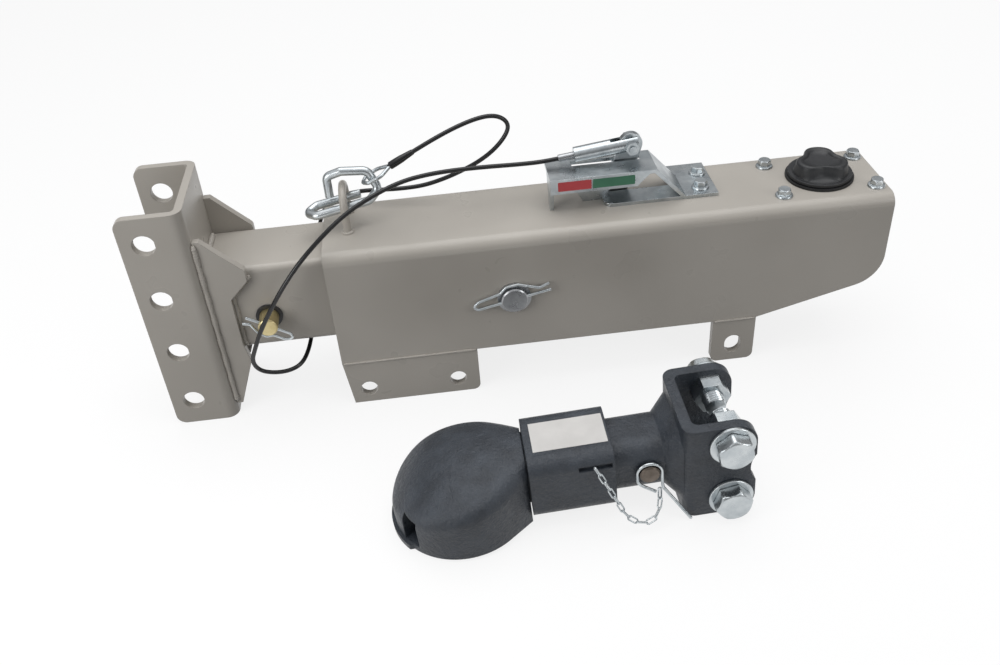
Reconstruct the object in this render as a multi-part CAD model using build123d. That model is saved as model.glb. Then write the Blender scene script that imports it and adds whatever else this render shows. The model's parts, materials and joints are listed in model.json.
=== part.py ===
from build123d import *
import os
from math import acos, atan, atan2, cos, degrees, hypot, pi, radians, sin, tan

# Surge brake coupler: outer case with its tongue brackets, sliding inner tube with the
# height channel, damper, master cylinder, breakaway lever and cable, and the coupler head
# that stands beside it on the same floor.
# Frame: +X runs rearward along the tongue, +Z up, Y = 0 is the middle of the case.
# X = 0 is midway between the two front bracket holes, Z = 0 is the underside of the case.

INCH = 25.4
FIT = 0.05            # radial clearance of a pin or shaft that turns or slides in its bore
GAP = 0.3             # clearance between faces that slide past each other

# Outer case
CASE_WIDTH = 3.5 * INCH
CASE_HEIGHT = 104.6
CASE_LENGTH = 456.6
CASE_WALL = 0.25 * INCH
CASE_BEND = 9.5
CASE_TAPER_RUN = 104.2       # length over which the side walls rise at the rear
CASE_TAPER_RISE = 27.6
CASE_HEEL_RADIUS = 28.0

# Brackets under the case, and their holes for the trailer tongue
BRACKET_HOLE_SPACING = 3 * INCH
BRACKET_HOLE_EDGE = 0.75 * INCH
BRACKET_HOLE_RADIUS = 7.15
BRACKET_DROP = 43.2
BRACKET_HOLE_HEIGHT = 14.3   # hole centre above the lower edge
FRONT_BRACKET_LENGTH = 113.5
FRONT_BRACKET_RAKE = 5.0
REAR_BRACKET_LENGTH = 37.05
REAR_SLOT_SET = 18.6         # slot centre behind the bracket's front edge
REAR_SLOT_LENGTH = 4.0
REAR_SLOT_HEIGHT = 17.0
BRACKET_CORNER = 6.0

# Sliding inner tube and its travel
TRAVEL = 38.0
SLIDE_WIDTH = 2.5 * INCH
SLIDE_WALL = 4.8
SLIDE_CORNER = 5.0
SLIDE_SET = 59.5             # rear end of the tube ahead of the lever
SLIDE_END_PLATE = 8.0
PAD_LENGTH = 30.0
BOTTOM_PAD_SIDE = 22.0
TOP_PAD_SIDE = 24.0
SIDE_PAD_SET = 5.0
PAD_BELOW = 12.65
PAD_ABOVE = 2.45
PAD_FRONT_SET = 5.0          # front pads behind the mouth of the case
PAD_REAR_SET = 91.0          # rear pads ahead of the tube's end

# Height channel at the front
CHANNEL_WIDTH = 3.5 * INCH
CHANNEL_DEPTH = 51.2
CHANNEL_HEIGHT = 199.1
CHANNEL_PLATE = 0.25 * INCH
CHANNEL_BEND = 9.5
CHANNEL_CORNER = 8.0
CHANNEL_WEB_X = -152.05      # rear face of the web
CHANNEL_HOLE_RADIUS = 0.6875 * INCH / 2
CHANNEL_HOLE_SPACING = 2 * INCH
CHANNEL_HOLE_COUNT = 4
CHANNEL_HOLE_EDGE = 18.4     # hole centres behind the free edges
CHANNEL_HOLE_BASE = 23.5     # lowest hole above the floor
GUSSET_PLATE = 0.25 * INCH
GUSSET_TIP = 5.0
GUSSET_REACH = 34.0
GUSSET_WAIST = 18.0
GUSSET_FOOT = 10.0
GUSSET_HEIGHT = 170.0        # top of the gussets above the floor

# Pins, damper and their common centre height
PIN_HEIGHT = 49.0
MAIN_PIN_SET = 25.65         # main pin ahead of the tube's rear end
MAIN_PIN_RADIUS = 11.0
MAIN_PIN_OVERHANG = 6.8
FRONT_PIN_X = -108.65
FRONT_PIN_RADIUS = 7.8
FRONT_PIN_OVERHANG = 18.5
PIN_HEAD = 5.0
PIN_WASHER = 2.0
CLIP_WIRE = 1.15
MAIN_CLIP_REACH = 26.0
FRONT_CLIP_REACH = 15.0
MAIN_CLIP_TILT = 12.0
FRONT_CLIP_TILT = 148.0
DAMPER_RADIUS = 20.0
DAMPER_BORE = 16.0
DAMPER_ROD_RADIUS = 6.0
DAMPER_REACH = 77.0          # main pin behind the damper tube's rear end
DAMPER_EYE_REACH = 18.0
DAMPER_GLAND = 12.0

# Master cylinder under the rear of the case
CAP_SET = 46.95              # cap centre ahead of the case's rear end
CYLINDER_LENGTH = 124.0
CYLINDER_RADIUS = 21.0
CYLINDER_BORE = 12.7
CYLINDER_SET = 39.5          # closed end behind the cap centre
BORE_BOTTOM = 18.0
RESERVOIR_WALL = 4.0
RESERVOIR_BASE = 66.0
COVER_BOLT_X = 3 * INCH
COVER_BOLT_Y = 2 * INCH
COVER_BOLT_EDGE = 7.6
COVER_SCREW_RADIUS = 3.2
COVER_SCREW_LENGTH = 20.0
RESERVOIR_OUTLET_RADIUS = 4.8
BLEED_HOLE_RADIUS = 1.5
CAP_RADIUS = 26.0
CAP_NECK_RADIUS = 18.0
CAP_FLANGE = 3.0
CAP_CONE = 7.0
CAP_LOBES = (80, 200, 320)
CAP_LOBE_OUT = 14.5
CAP_LOBE_RADIUS = 7.5
CAP_HUB_RADIUS = 15.5
CAP_GRIP_TOP = 14.0
GASKET = 2.0
PUSH_ROD_RADIUS = 6.0
PISTON_SET = 18.0            # piston's front face behind the cylinder's open end
PISTON_LENGTH = 26.0
COLLAR_SET = 21.0            # collar behind the lever
COLLAR_RADIUS = 14.0
COLLAR_WIDTH = 6.0

# Breakaway lever, its link and bracket
LEVER_SET = 177.0            # lever pivot ahead of the cap centre
LEVER_Y = 11.0
LEVER_PIVOT_DEPTH = 24.6     # below the case top
LEVER_ARM = 70.0
LEVER_TAIL = 31.0
LEVER_WIDTH = 19.0
LEVER_PLATE = 5.0
LEVER_SWING = 17.0           # degrees each side of upright
LEVER_PIVOT_RADIUS = 5.0
EAR_PLATE = 4.0
EAR_RADIUS = 12.0
EAR_CLEAR = 1.0
LINK_BOLT_RADIUS = 3.0
LINK_RADIUS = 6.5
LINK_BORE = 4.6
LINK_FRONT = 46.0            # length ahead of the link bolt
LINK_RISE = 5.5
BRACKET_SHEET = 3.0
BRACKET_SCREW_RADIUS = 3.0
BRACKET_SCREW_LENGTH = 14.0
BRACKET_FRONT_SET = 48.5     # ahead of the lever
BRACKET_REAR_SET = 88.5      # behind the lever
BRACKET_RISE = 29.4
BRACKET_NEAR_Y = -14.0
BRACKET_FAR_Y = 21.0
BRACKET_CREST_SET = 37.5
RAMP_FOOT_SET = 60.5
BASE_STRIP_SET = 4.5
BASE_FAR_Y = 38.5
LIP_DEPTH = 13.0
ARCH_X = -36.7
ARCH_NEAR_Y = -8.0
ARCH_FAR_Y = 25.0
ARCH_RISE = 35.4
ARCH_ROD = 3.2

# Breakaway cable
CABLE_RADIUS = 1.8
SLEEVE_RADIUS = 3.2
CRIMP_LENGTH = 22.0
HOOK_ROD = 3.5
EYE_ROD = 2.0

# Coupler head, in its own frame: u rearward from the nose, v up from the clevis underside.
# The crest line gives (u, v) of the top's middle line, and the chain's route is taken from
# the sleeve's front end.
HEAD_X = -20.0
HEAD_Y = -182.0
HOUSING_RADIUS = 51.0
HOUSING_LIFT = 10.5
DOME_HEIGHT = 62.0
CREST_LINE = [(-4, 24), (8, 40), (22, 52), (42, 61), (70, 65)]
CREST_END = 66.0
CROWN_DROP = 19.0            # fall of the top from its middle line to past its sides
HOUSING_ROLL = 12.0
HOUSING_STEP = 2.0           # the housing's rear end stands this far outside the neck
RIM_LIP = 2.5
RIM_LIP_HEIGHT = 4.5
NOSE_SLOT_WIDTH = 15.0
NOSE_SLOT_BASE = 5.0
NOSE_SLOT_TOP = 29.0
NOSE_SLOT_TURN = 40.0        # degrees from the nose towards the near side
BALL_RADIUS = 2.3125 * INCH / 2
BALL_CLEAR = 0.8
CUP_FLAT = 1.0               # the cup over the ball is flat this far below its pole
BALL_HEIGHT = 15.5
CLAMP_SET = 7.0              # jaw's rear face ahead of the sleeve
CLAMP_LENGTH = 20.0
CLAMP_PIN_SET = 7.0
CLAMP_PIN_HEIGHT = 10.0
CLAMP_SIDE = 12.0
CLAMP_PIN_RADIUS = 3.0
NECK_WIDTH = 47.0
NECK_HEIGHT = 43.0
NECK_CORNER = 14.0
SLEEVE_WALL = 5.5
SLEEVE_LENGTH = 61.5
SAFETY_PIN_SET = 86.3        # safety pin behind the sleeve's front end
SAFETY_PIN_RADIUS = 7.5
SAFETY_PIN_OVERHANG = 5.0
BAIL_WIRE = 1.2
NECK_REACH = 109.0           # clevis behind the sleeve's front end
CLEVIS_LENGTH = 52.0
CLEVIS_WIDTH = 71.0
CLEVIS_WALL = 8.0
CLEVIS_BOLT_SPACING = 2 * INCH
CLEVIS_BOLT_EDGE = 18.0
CLEVIS_LOBE = 16.0
CLEVIS_BOLT_RADIUS = 0.625 * INCH / 2
CLEVIS_BOLT_HEX = 0.9375 * INCH
CLEVIS_WASHER_RADIUS = 16.4
CLEVIS_WASHER = 2.6
CLEVIS_BOLT_LENGTH = 34.0
CLEVIS_BOLT_HEAD = 10.0
CLEVIS_NUT = 13.5
CHAIN_ROUTE = [(48, -32.4, 58), (58, -37, 36), (66, -41, 15), (80, -44, 8.5), (91, -39, 15), (92, -32, 26)]
CHAIN_PITCH = 8.2
CHAIN_LINK_LENGTH = 10.4
CHAIN_LINK_WIDTH = 5.6
CHAIN_WIRE = 1.3
CHAIN_LINK_DEPTH = 1.4

# Sizes worked out from those above
CASE_FRONT = -BRACKET_HOLE_SPACING / 2 - BRACKET_HOLE_EDGE
CASE_REAR = CASE_FRONT + CASE_LENGTH
TAPER_START = CASE_REAR - CASE_TAPER_RUN
CASE_SIDE = CASE_WIDTH / 2
CASE_INNER = CASE_SIDE - CASE_WALL
CASE_CEILING = CASE_HEIGHT - CASE_WALL
FLOOR = -BRACKET_DROP
SLIDE_SIDE = SLIDE_WIDTH / 2
SLIDE_BASE = CASE_WALL + PAD_BELOW + GAP
SLIDE_TOP = CASE_CEILING - PAD_ABOVE - GAP
SLIDE_HEIGHT = SLIDE_TOP - SLIDE_BASE
SLIDE_MIDDLE = (SLIDE_BASE + SLIDE_TOP) / 2
CHANNEL_FRONT = CHANNEL_WEB_X - CHANNEL_DEPTH
CHANNEL_HOLE_X = CHANNEL_FRONT + CHANNEL_HOLE_EDGE
CHANNEL_HOLE_Z = [FLOOR + CHANNEL_HOLE_BASE + CHANNEL_HOLE_SPACING * i for i in range(CHANNEL_HOLE_COUNT)]
BRACKET_HOLE_X = [-BRACKET_HOLE_SPACING / 2, BRACKET_HOLE_SPACING / 2]
REAR_BRACKET_START = TAPER_START - REAR_BRACKET_LENGTH
REAR_SLOT_X = REAR_BRACKET_START + REAR_SLOT_SET
CAP_X = CASE_REAR - CAP_SET
COVER_BOLTS = [(CAP_X + sx * COVER_BOLT_X / 2, sy * COVER_BOLT_Y / 2) for sx in (-1, 1) for sy in (-1, 1)]
CYLINDER_END = CAP_X + CYLINDER_SET
CYLINDER_FRONT = CYLINDER_END - CYLINDER_LENGTH
BORE_END = CYLINDER_END - BORE_BOTTOM
PISTON_FRONT = CYLINDER_FRONT + PISTON_SET
LEVER_X = CAP_X - LEVER_SET
LEVER_PIVOT_HEIGHT = CASE_HEIGHT - LEVER_PIVOT_DEPTH
COLLAR_X = LEVER_X + COLLAR_SET
SLIDE_REAR = LEVER_X - SLIDE_SET
MAIN_PIN_X = SLIDE_REAR - MAIN_PIN_SET
PAD_REAR_X = SLIDE_REAR - PAD_REAR_SET
DAMPER_FRONT = FRONT_PIN_X + DAMPER_EYE_REACH
DAMPER_REAR = MAIN_PIN_X - DAMPER_REACH
BRACKET_FRONT = LEVER_X - BRACKET_FRONT_SET
BRACKET_REAR = LEVER_X + BRACKET_REAR_SET
BRACKET_TOP = CASE_HEIGHT + BRACKET_RISE
BRACKET_CREST = LEVER_X + BRACKET_CREST_SET
RAMP_FOOT = LEVER_X + RAMP_FOOT_SET
BASE_STRIP_FRONT = LEVER_X - BASE_STRIP_SET
ARCH_TOP = CASE_HEIGHT + ARCH_RISE
LINK_HEIGHT = LEVER_PIVOT_HEIGHT + LEVER_ARM * cos(radians(LEVER_SWING))
LINK_X = LEVER_X + LEVER_ARM * sin(radians(LEVER_SWING))
LINK_TILT = degrees(atan(LINK_RISE / LINK_FRONT))
BRACKET_BOLTS = [(RAMP_FOOT + 19.5, 21.5), (RAMP_FOOT + 16.0, -2.5)]
SLEEVE_FRONT = 2 * HOUSING_RADIUS
CLAMP_X = SLEEVE_FRONT - CLAMP_SET
SAFETY_PIN_X = SLEEVE_FRONT + SAFETY_PIN_SET
CLEVIS_FRONT = SLEEVE_FRONT + NECK_REACH
CLEVIS_REAR = CLEVIS_FRONT + CLEVIS_LENGTH
CLEVIS_BOLT_X = CLEVIS_REAR - CLEVIS_BOLT_EDGE
SLEEVE_WIDTH = NECK_WIDTH + 2 * (SLEEVE_WALL + GAP)
SLEEVE_HEIGHT = NECK_HEIGHT + 2 * (SLEEVE_WALL + GAP)
CLEVIS_HEIGHT = CLEVIS_BOLT_SPACING + 2 * CLEVIS_LOBE
NECK_AXIS = CLEVIS_HEIGHT / 2
HEAD_TILT = degrees(atan2(HOUSING_LIFT, CLEVIS_FRONT))
CLEVIS_BOLT_V = [NECK_AXIS - CLEVIS_BOLT_SPACING / 2, NECK_AXIS + CLEVIS_BOLT_SPACING / 2]
HEAD_PLACE = Pos(HEAD_X, HEAD_Y, FLOOR - HOUSING_LIFT * cos(radians(HEAD_TILT))) * Rot(0, -HEAD_TILT, 0)


def block(x0, x1, y0, y1, z0, z1):
    middle = Pos((x0 + x1) / 2, (y0 + y1) / 2, (z0 + z1) / 2)
    return middle * Box(x1 - x0, y1 - y0, z1 - z0)


def rod_x(radius, x0, x1, y, z):
    return Pos((x0 + x1) / 2, y, z) * Rot(0, 90, 0) * Cylinder(radius, x1 - x0)


def rod_y(radius, y0, y1, x, z):
    return Pos(x, (y0 + y1) / 2, z) * Rot(90, 0, 0) * Cylinder(radius, y1 - y0)


def rod_z(radius, z0, z1, x, y):
    return Pos(x, y, (z0 + z1) / 2) * Cylinder(radius, z1 - z0)


def side_plate(points, y0, y1):
    outline = Polyline(*[(x, y0, z) for x, z in points], close=True)
    return extrude(make_face(outline), y1 - y0, dir=(0, 1, 0))


def plan_plate(points, z0, z1):
    outline = Polyline(*[(x, y, z0) for x, y in points], close=True)
    return extrude(make_face(outline), z1 - z0, dir=(0, 0, 1))


def hexagon(across_flats, length):
    return extrude(RegularPolygon(across_flats / 2, 6, major_radius=False), length)


def bar_x(width, height, corner, x0, x1, y, z):
    profile = Plane.YZ * RectangleRounded(width, height, corner)
    return Pos(x0, y, z) * extrude(profile, x1 - x0)


def slot_y(radius, reach, y0, y1, x, z, angle=90):
    # Slot cut along Y; reach is the distance between its end centres
    shape = Plane.XZ * (Rot(0, 0, angle) * SlotCenterToCenter(reach, radius * 2))
    return Pos(x, y1, z) * extrude(shape, y1 - y0)


def wire_rod(points, radii, radius):
    path = FilletPolyline(*points, radius=radii)
    section = Plane(origin=path @ 0, z_dir=path % 0) * Circle(radius)
    return sweep(section, path=path), path.length


def corner_radii(points, share=0.45):
    # Each arc is as large as its two runs allow
    spots = [Vector(*p) for p in points]
    radii = []
    for before, here, after in zip(spots, spots[1:], spots[2:]):
        turn = (here - before).get_angle(after - here)
        run = min((here - before).length, (after - here).length)
        radii.append(share * run / tan(radians(turn) / 2))
    return radii


# Outer case


def case_side_profile(y0, y1):
    outline = [
        (CASE_FRONT, 0),
        (TAPER_START, 0),
        (CASE_REAR, CASE_TAPER_RISE),
        (CASE_REAR, CASE_HEIGHT),
        (CASE_FRONT, CASE_HEIGHT),
    ]
    plate = side_plate(outline, y0, y1)
    heel = plate.edges().filter_by(Axis.Y).sort_by_distance((CASE_REAR, 0, CASE_TAPER_RISE))[0]
    return fillet(heel, CASE_HEEL_RADIUS)


def case_shell():
    outer = block(CASE_FRONT, CASE_REAR, -CASE_SIDE, CASE_SIDE, 0, CASE_HEIGHT)
    outer = fillet(outer.edges().filter_by(Axis.X).group_by(Axis.Z)[-1], CASE_BEND)
    inner = block(CASE_FRONT - 1, CASE_REAR + 1, -CASE_INNER, CASE_INNER, -1, CASE_CEILING)
    inner = fillet(inner.edges().filter_by(Axis.X).group_by(Axis.Z)[-1], CASE_BEND - CASE_WALL)
    shell = (outer - inner) & case_side_profile(-CASE_SIDE, CASE_SIDE)
    shell -= rod_y(MAIN_PIN_RADIUS + FIT, -CASE_SIDE - 1, CASE_SIDE + 1, MAIN_PIN_X, PIN_HEIGHT)
    shell -= rod_z(CAP_NECK_RADIUS + 3, CASE_CEILING - 1, CASE_HEIGHT + 1, CAP_X, 0)
    for x, y in COVER_BOLTS:
        shell -= rod_z(COVER_SCREW_RADIUS + FIT, CASE_CEILING - 1, CASE_HEIGHT + 1, x, y)
    for x, y in BRACKET_BOLTS:
        shell -= rod_z(BRACKET_SCREW_RADIUS + FIT, CASE_CEILING - 1, CASE_HEIGHT + 1, x, y)
    shell -= lever_slot(CASE_CEILING - 1, CASE_HEIGHT + 1, CASE_HEIGHT)
    return shell


def lever_slot(z0, z1, height):
    # Opening that the lever sweeps through at the given height
    reach = (height - LEVER_PIVOT_HEIGHT) * tan(radians(LEVER_SWING))
    half = reach + LEVER_WIDTH / 2 / cos(radians(LEVER_SWING)) + 1.5
    side = LEVER_PLATE / 2 + 1.5
    return block(LEVER_X - half, LEVER_X + half, LEVER_Y - side, LEVER_Y + side, z0, z1)


def case_floor():
    return block(CASE_FRONT, TAPER_START, -CASE_INNER, CASE_INNER, 0, CASE_WALL)


def front_brackets():
    rear = CASE_FRONT + FRONT_BRACKET_LENGTH
    outline = [
        (CASE_FRONT, 0),
        (CASE_FRONT + 1, -8),
        (CASE_FRONT + FRONT_BRACKET_RAKE, FLOOR),
        (rear, FLOOR),
        (rear, 0),
    ]
    plates = []
    for side in (-1, 1):
        y0, y1 = sorted((side * CASE_INNER, side * CASE_SIDE))
        plate = side_plate(outline, y0, y1)
        corner = plate.edges().filter_by(Axis.Y).sort_by_distance((rear, y0, FLOOR))[0]
        plate = fillet(corner, BRACKET_CORNER)
        for x in BRACKET_HOLE_X:
            plate -= rod_y(BRACKET_HOLE_RADIUS, y0 - 1, y1 + 1, x, FLOOR + BRACKET_HOLE_HEIGHT)
        plates.append(plate)
    return plates


def rear_brackets():
    plates = []
    for side in (-1, 1):
        y0, y1 = sorted((side * CASE_INNER, side * CASE_SIDE))
        plate = block(REAR_BRACKET_START, TAPER_START, y0, y1, FLOOR, 0)
        plate = fillet(plate.edges().filter_by(Axis.Y).group_by(Axis.Z)[0], BRACKET_CORNER)
        slot_z = FLOOR + REAR_SLOT_HEIGHT
        plate -= slot_y(BRACKET_HOLE_RADIUS, REAR_SLOT_LENGTH, y0 - 1, y1 + 1, REAR_SLOT_X, slot_z)
        plates.append(plate)
    return plates


def cable_arch():
    points = [
        (ARCH_X, ARCH_NEAR_Y, CASE_HEIGHT),
        (ARCH_X, ARCH_NEAR_Y, ARCH_TOP - ARCH_ROD),
        (ARCH_X, ARCH_FAR_Y, ARCH_TOP - ARCH_ROD),
        (ARCH_X, ARCH_FAR_Y, CASE_HEIGHT),
    ]
    bend = (ARCH_FAR_Y - ARCH_NEAR_Y) / 2 - 0.5
    return wire_rod(points, [bend, bend], ARCH_ROD)[0]


# Sliding inner assembly


def slide_tube():
    tube = bar_x(SLIDE_WIDTH, SLIDE_HEIGHT, SLIDE_CORNER, CHANNEL_WEB_X, SLIDE_REAR, 0, SLIDE_MIDDLE)
    bore = bar_x(
        SLIDE_WIDTH - 2 * SLIDE_WALL,
        SLIDE_HEIGHT - 2 * SLIDE_WALL,
        1.5,
        CHANNEL_WEB_X - 1,
        SLIDE_REAR + 1,
        0,
        SLIDE_MIDDLE,
    )
    tube -= bore
    middle = MAIN_PIN_X - TRAVEL / 2
    tube -= slot_y(MAIN_PIN_RADIUS + 1, TRAVEL, -SLIDE_SIDE - 1, SLIDE_SIDE + 1, middle, PIN_HEIGHT, 0)
    tube -= rod_y(FRONT_PIN_RADIUS + FIT, -SLIDE_SIDE - 1, SLIDE_SIDE + 1, FRONT_PIN_X, PIN_HEIGHT)
    return tube


def slide_end_plate():
    plate = bar_x(
        SLIDE_WIDTH - 2 * SLIDE_WALL,
        SLIDE_HEIGHT - 2 * SLIDE_WALL,
        1.5,
        SLIDE_REAR - SLIDE_END_PLATE,
        SLIDE_REAR,
        0,
        SLIDE_MIDDLE,
    )
    return plate


def channel_bracket():
    half = CHANNEL_WIDTH / 2
    top = FLOOR + CHANNEL_HEIGHT
    outer = block(CHANNEL_FRONT, CHANNEL_WEB_X, -half, half, FLOOR, top)
    outer = fillet(outer.edges().filter_by(Axis.Z).group_by(Axis.X)[-1], CHANNEL_BEND)
    inside = half - CHANNEL_PLATE
    inner = block(CHANNEL_FRONT - 1, CHANNEL_WEB_X - CHANNEL_PLATE, -inside, inside, FLOOR - 1, top + 1)
    inner = fillet(inner.edges().filter_by(Axis.Z).group_by(Axis.X)[-1], CHANNEL_BEND - CHANNEL_PLATE)
    channel = outer - inner
    trim = block(CHANNEL_FRONT, CHANNEL_WEB_X, -half, half, FLOOR, top)
    trim = fillet(trim.edges().filter_by(Axis.Y).group_by(Axis.X)[0], CHANNEL_CORNER)
    channel &= trim
    for z in CHANNEL_HOLE_Z:
        channel -= rod_y(CHANNEL_HOLE_RADIUS, -half - 1, half + 1, CHANNEL_HOLE_X, z)
    return channel


def gussets():
    top = FLOOR + GUSSET_HEIGHT
    outline = [
        (CHANNEL_WEB_X, top),
        (CHANNEL_WEB_X + GUSSET_TIP, top),
        (CHANNEL_WEB_X + GUSSET_REACH, SLIDE_TOP + 2),
        (CHANNEL_WEB_X + GUSSET_REACH, SLIDE_TOP - 8),
        (CHANNEL_WEB_X + GUSSET_WAIST, SLIDE_TOP - 8 - GUSSET_REACH + GUSSET_WAIST),
        (CHANNEL_WEB_X + GUSSET_WAIST, SLIDE_BASE + 8),
        (CHANNEL_WEB_X + GUSSET_WAIST + 3, SLIDE_BASE - 10),
        (CHANNEL_WEB_X + GUSSET_TIP, FLOOR + GUSSET_FOOT),
        (CHANNEL_WEB_X, FLOOR + GUSSET_FOOT),
    ]
    plates = []
    for side in (-1, 1):
        y0, y1 = sorted((side * SLIDE_SIDE, side * (SLIDE_SIDE + GUSSET_PLATE)))
        plate = side_plate(outline, y0, y1)
        nose = plate.edges().filter_by(Axis.Y).group_by(Axis.X)[-1]
        plate = fillet(nose, 4.5)
        plates.append(plate)
    return plates


def wear_pad_solids(kind):
    pads = []
    for x in (CASE_FRONT + PAD_FRONT_SET, PAD_REAR_X):
        end = x + PAD_LENGTH
        if kind == "bottom":
            pads.append(block(x, end, -BOTTOM_PAD_SIDE, BOTTOM_PAD_SIDE, CASE_WALL, SLIDE_BASE - GAP))
        if kind == "top":
            pads.append(block(x, end, -TOP_PAD_SIDE, TOP_PAD_SIDE, SLIDE_TOP + GAP, CASE_CEILING))
        if kind == "side":
            for side in (-1, 1):
                y0, y1 = sorted((side * CASE_INNER, side * (SLIDE_SIDE + GAP)))
                pads.append(block(x, end, y0, y1, SLIDE_BASE + SIDE_PAD_SET, SLIDE_TOP - SIDE_PAD_SET))
    return pads


# Pins and their clips


def headed_pin(radius, x, near, far):
    pin = rod_y(radius, near, far, x, PIN_HEIGHT)
    pin = chamfer(pin.edges().group_by(Axis.Y)[0], 1.0)
    pin += rod_y(radius + 3.5, far, far + PIN_HEAD, x, PIN_HEIGHT)
    return pin


def pin_washer(inner, outer, x, face, thickness):
    ring = rod_y(outer, face - thickness, face, x, PIN_HEIGHT)
    return ring - rod_y(inner + FIT, face - thickness - 1, face + 1, x, PIN_HEIGHT)


def hairpin(radius, reach, x, y, tilt):
    # Straight leg through the pin, bowed leg over it
    bow = radius + CLIP_WIRE + 0.6
    tail = radius + reach * 0.75
    points = [
        (tail, 0, 0),
        (-tail, 0, 0),
        (-tail - 4, 0, 3.5),
        (-tail + 2, 0, 7.0),
        (-radius * 0.9, 0, bow * 0.72),
        (-radius * 0.35, 0, bow + 0.8),
        (radius * 0.55, 0, bow + 0.4),
        (tail * 0.72, 0, 4.5),
        (tail, 0, 6.5),
    ]
    rod = wire_rod(points, [2.2, 2.2, 2.2, 3, 3, 3, 3], CLIP_WIRE)[0]
    return Pos(x, y, PIN_HEIGHT) * Rot(0, -tilt, 0) * rod


def main_pin():
    near = -CASE_SIDE - MAIN_PIN_OVERHANG
    pin = headed_pin(MAIN_PIN_RADIUS, MAIN_PIN_X, near, CASE_SIDE)
    return pin - clip_hole(MAIN_PIN_X, main_clip_y(), MAIN_PIN_RADIUS, MAIN_CLIP_TILT)


def front_pin():
    near = -SLIDE_SIDE - FRONT_PIN_OVERHANG
    pin = headed_pin(FRONT_PIN_RADIUS, FRONT_PIN_X, near, SLIDE_SIDE)
    return pin - clip_hole(FRONT_PIN_X, front_clip_y(), FRONT_PIN_RADIUS, FRONT_CLIP_TILT)


def clip_hole(x, y, radius, tilt):
    hole = rod_x(CLIP_WIRE + FIT, -radius - 5, radius + 5, 0, 0)
    return Pos(x, y, PIN_HEIGHT) * Rot(0, -tilt, 0) * hole


def main_pin_clip():
    return hairpin(MAIN_PIN_RADIUS, MAIN_CLIP_REACH, MAIN_PIN_X, main_clip_y(), MAIN_CLIP_TILT)


def front_pin_clip():
    return hairpin(FRONT_PIN_RADIUS, FRONT_CLIP_REACH, FRONT_PIN_X, front_clip_y(), FRONT_CLIP_TILT)


def main_pin_washer():
    return pin_washer(MAIN_PIN_RADIUS, MAIN_PIN_RADIUS + 2.8, MAIN_PIN_X, -CASE_SIDE, PIN_WASHER)


def front_pin_washer():
    return pin_washer(FRONT_PIN_RADIUS, FRONT_PIN_RADIUS + 3, FRONT_PIN_X, -SLIDE_SIDE, PIN_WASHER)


def main_clip_y():
    return -CASE_SIDE - PIN_WASHER - 0.8 - CLIP_WIRE


def front_clip_y():
    # Outside the case, so that it passes the case's mouth as the slide moves in
    return -CASE_SIDE - CLIP_WIRE - 0.7


# Damper between the two pins


def damper_tube():
    gland = DAMPER_REAR - DAMPER_GLAND
    tube = rod_x(DAMPER_RADIUS, DAMPER_FRONT, DAMPER_REAR, 0, PIN_HEIGHT)
    tube -= rod_x(DAMPER_BORE, DAMPER_FRONT + 6, gland, 0, PIN_HEIGHT)
    tube -= rod_x(DAMPER_ROD_RADIUS + FIT, gland - 1, DAMPER_REAR + 1, 0, PIN_HEIGHT)
    lug = block(FRONT_PIN_X, DAMPER_FRONT, -11, 11, PIN_HEIGHT - 13, PIN_HEIGHT + 13)
    lug += rod_y(13, -11, 11, FRONT_PIN_X, PIN_HEIGHT)
    tube += lug
    return tube - rod_y(FRONT_PIN_RADIUS + FIT, -20, 20, FRONT_PIN_X, PIN_HEIGHT)


def damper_rod():
    piston = DAMPER_REAR - DAMPER_GLAND - 14
    eye = MAIN_PIN_RADIUS + 5
    rod = rod_x(DAMPER_ROD_RADIUS, piston, MAIN_PIN_X - MAIN_PIN_RADIUS - 2, 0, PIN_HEIGHT)
    rod += rod_x(DAMPER_BORE - FIT, piston, piston + 10, 0, PIN_HEIGHT)
    rod += rod_y(eye, -11, 11, MAIN_PIN_X, PIN_HEIGHT)
    return rod - rod_y(MAIN_PIN_RADIUS + FIT, -20, 20, MAIN_PIN_X, PIN_HEIGHT)


# Master cylinder, piston and filler cap


def master_cylinder():
    x0 = CAP_X - COVER_BOLT_X / 2 - COVER_BOLT_EDGE
    x1 = CAP_X + COVER_BOLT_X / 2 + COVER_BOLT_EDGE
    side = COVER_BOLT_Y / 2 + COVER_BOLT_EDGE
    tank = block(x0, x1, -side, side, RESERVOIR_BASE, CASE_CEILING)
    tank = fillet(tank.edges().filter_by(Axis.Z), COVER_BOLT_EDGE)
    body = tank + rod_x(CYLINDER_RADIUS, CYLINDER_FRONT, CYLINDER_END, 0, PIN_HEIGHT)
    body += rod_x(CYLINDER_RADIUS + 3, CYLINDER_FRONT, CYLINDER_FRONT + 8, 0, PIN_HEIGHT)
    well = block(
        x0 + 2 * COVER_BOLT_EDGE,
        x1 - 2 * COVER_BOLT_EDGE,
        -side + RESERVOIR_WALL,
        side - RESERVOIR_WALL,
        PIN_HEIGHT + CYLINDER_RADIUS + 1,
        CASE_CEILING - RESERVOIR_WALL,
    )
    body -= well
    body -= rod_z(CAP_NECK_RADIUS, CASE_CEILING - 2 * RESERVOIR_WALL, CASE_CEILING + 1, CAP_X, 0)
    body -= rod_x(CYLINDER_BORE, CYLINDER_FRONT - 1, BORE_END, 0, PIN_HEIGHT)
    body -= rod_x(RESERVOIR_OUTLET_RADIUS, BORE_END - 1, CYLINDER_END + 1, 0, PIN_HEIGHT)
    for x in (CAP_X - 12, CAP_X + 4):
        body -= rod_z(BLEED_HOLE_RADIUS, PIN_HEIGHT, PIN_HEIGHT + CYLINDER_RADIUS + 2, x, 0)
    for x, y in COVER_BOLTS:
        body -= rod_z(COVER_SCREW_RADIUS + FIT, CASE_CEILING - 16, CASE_CEILING + 1, x, y)
    return body


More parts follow.
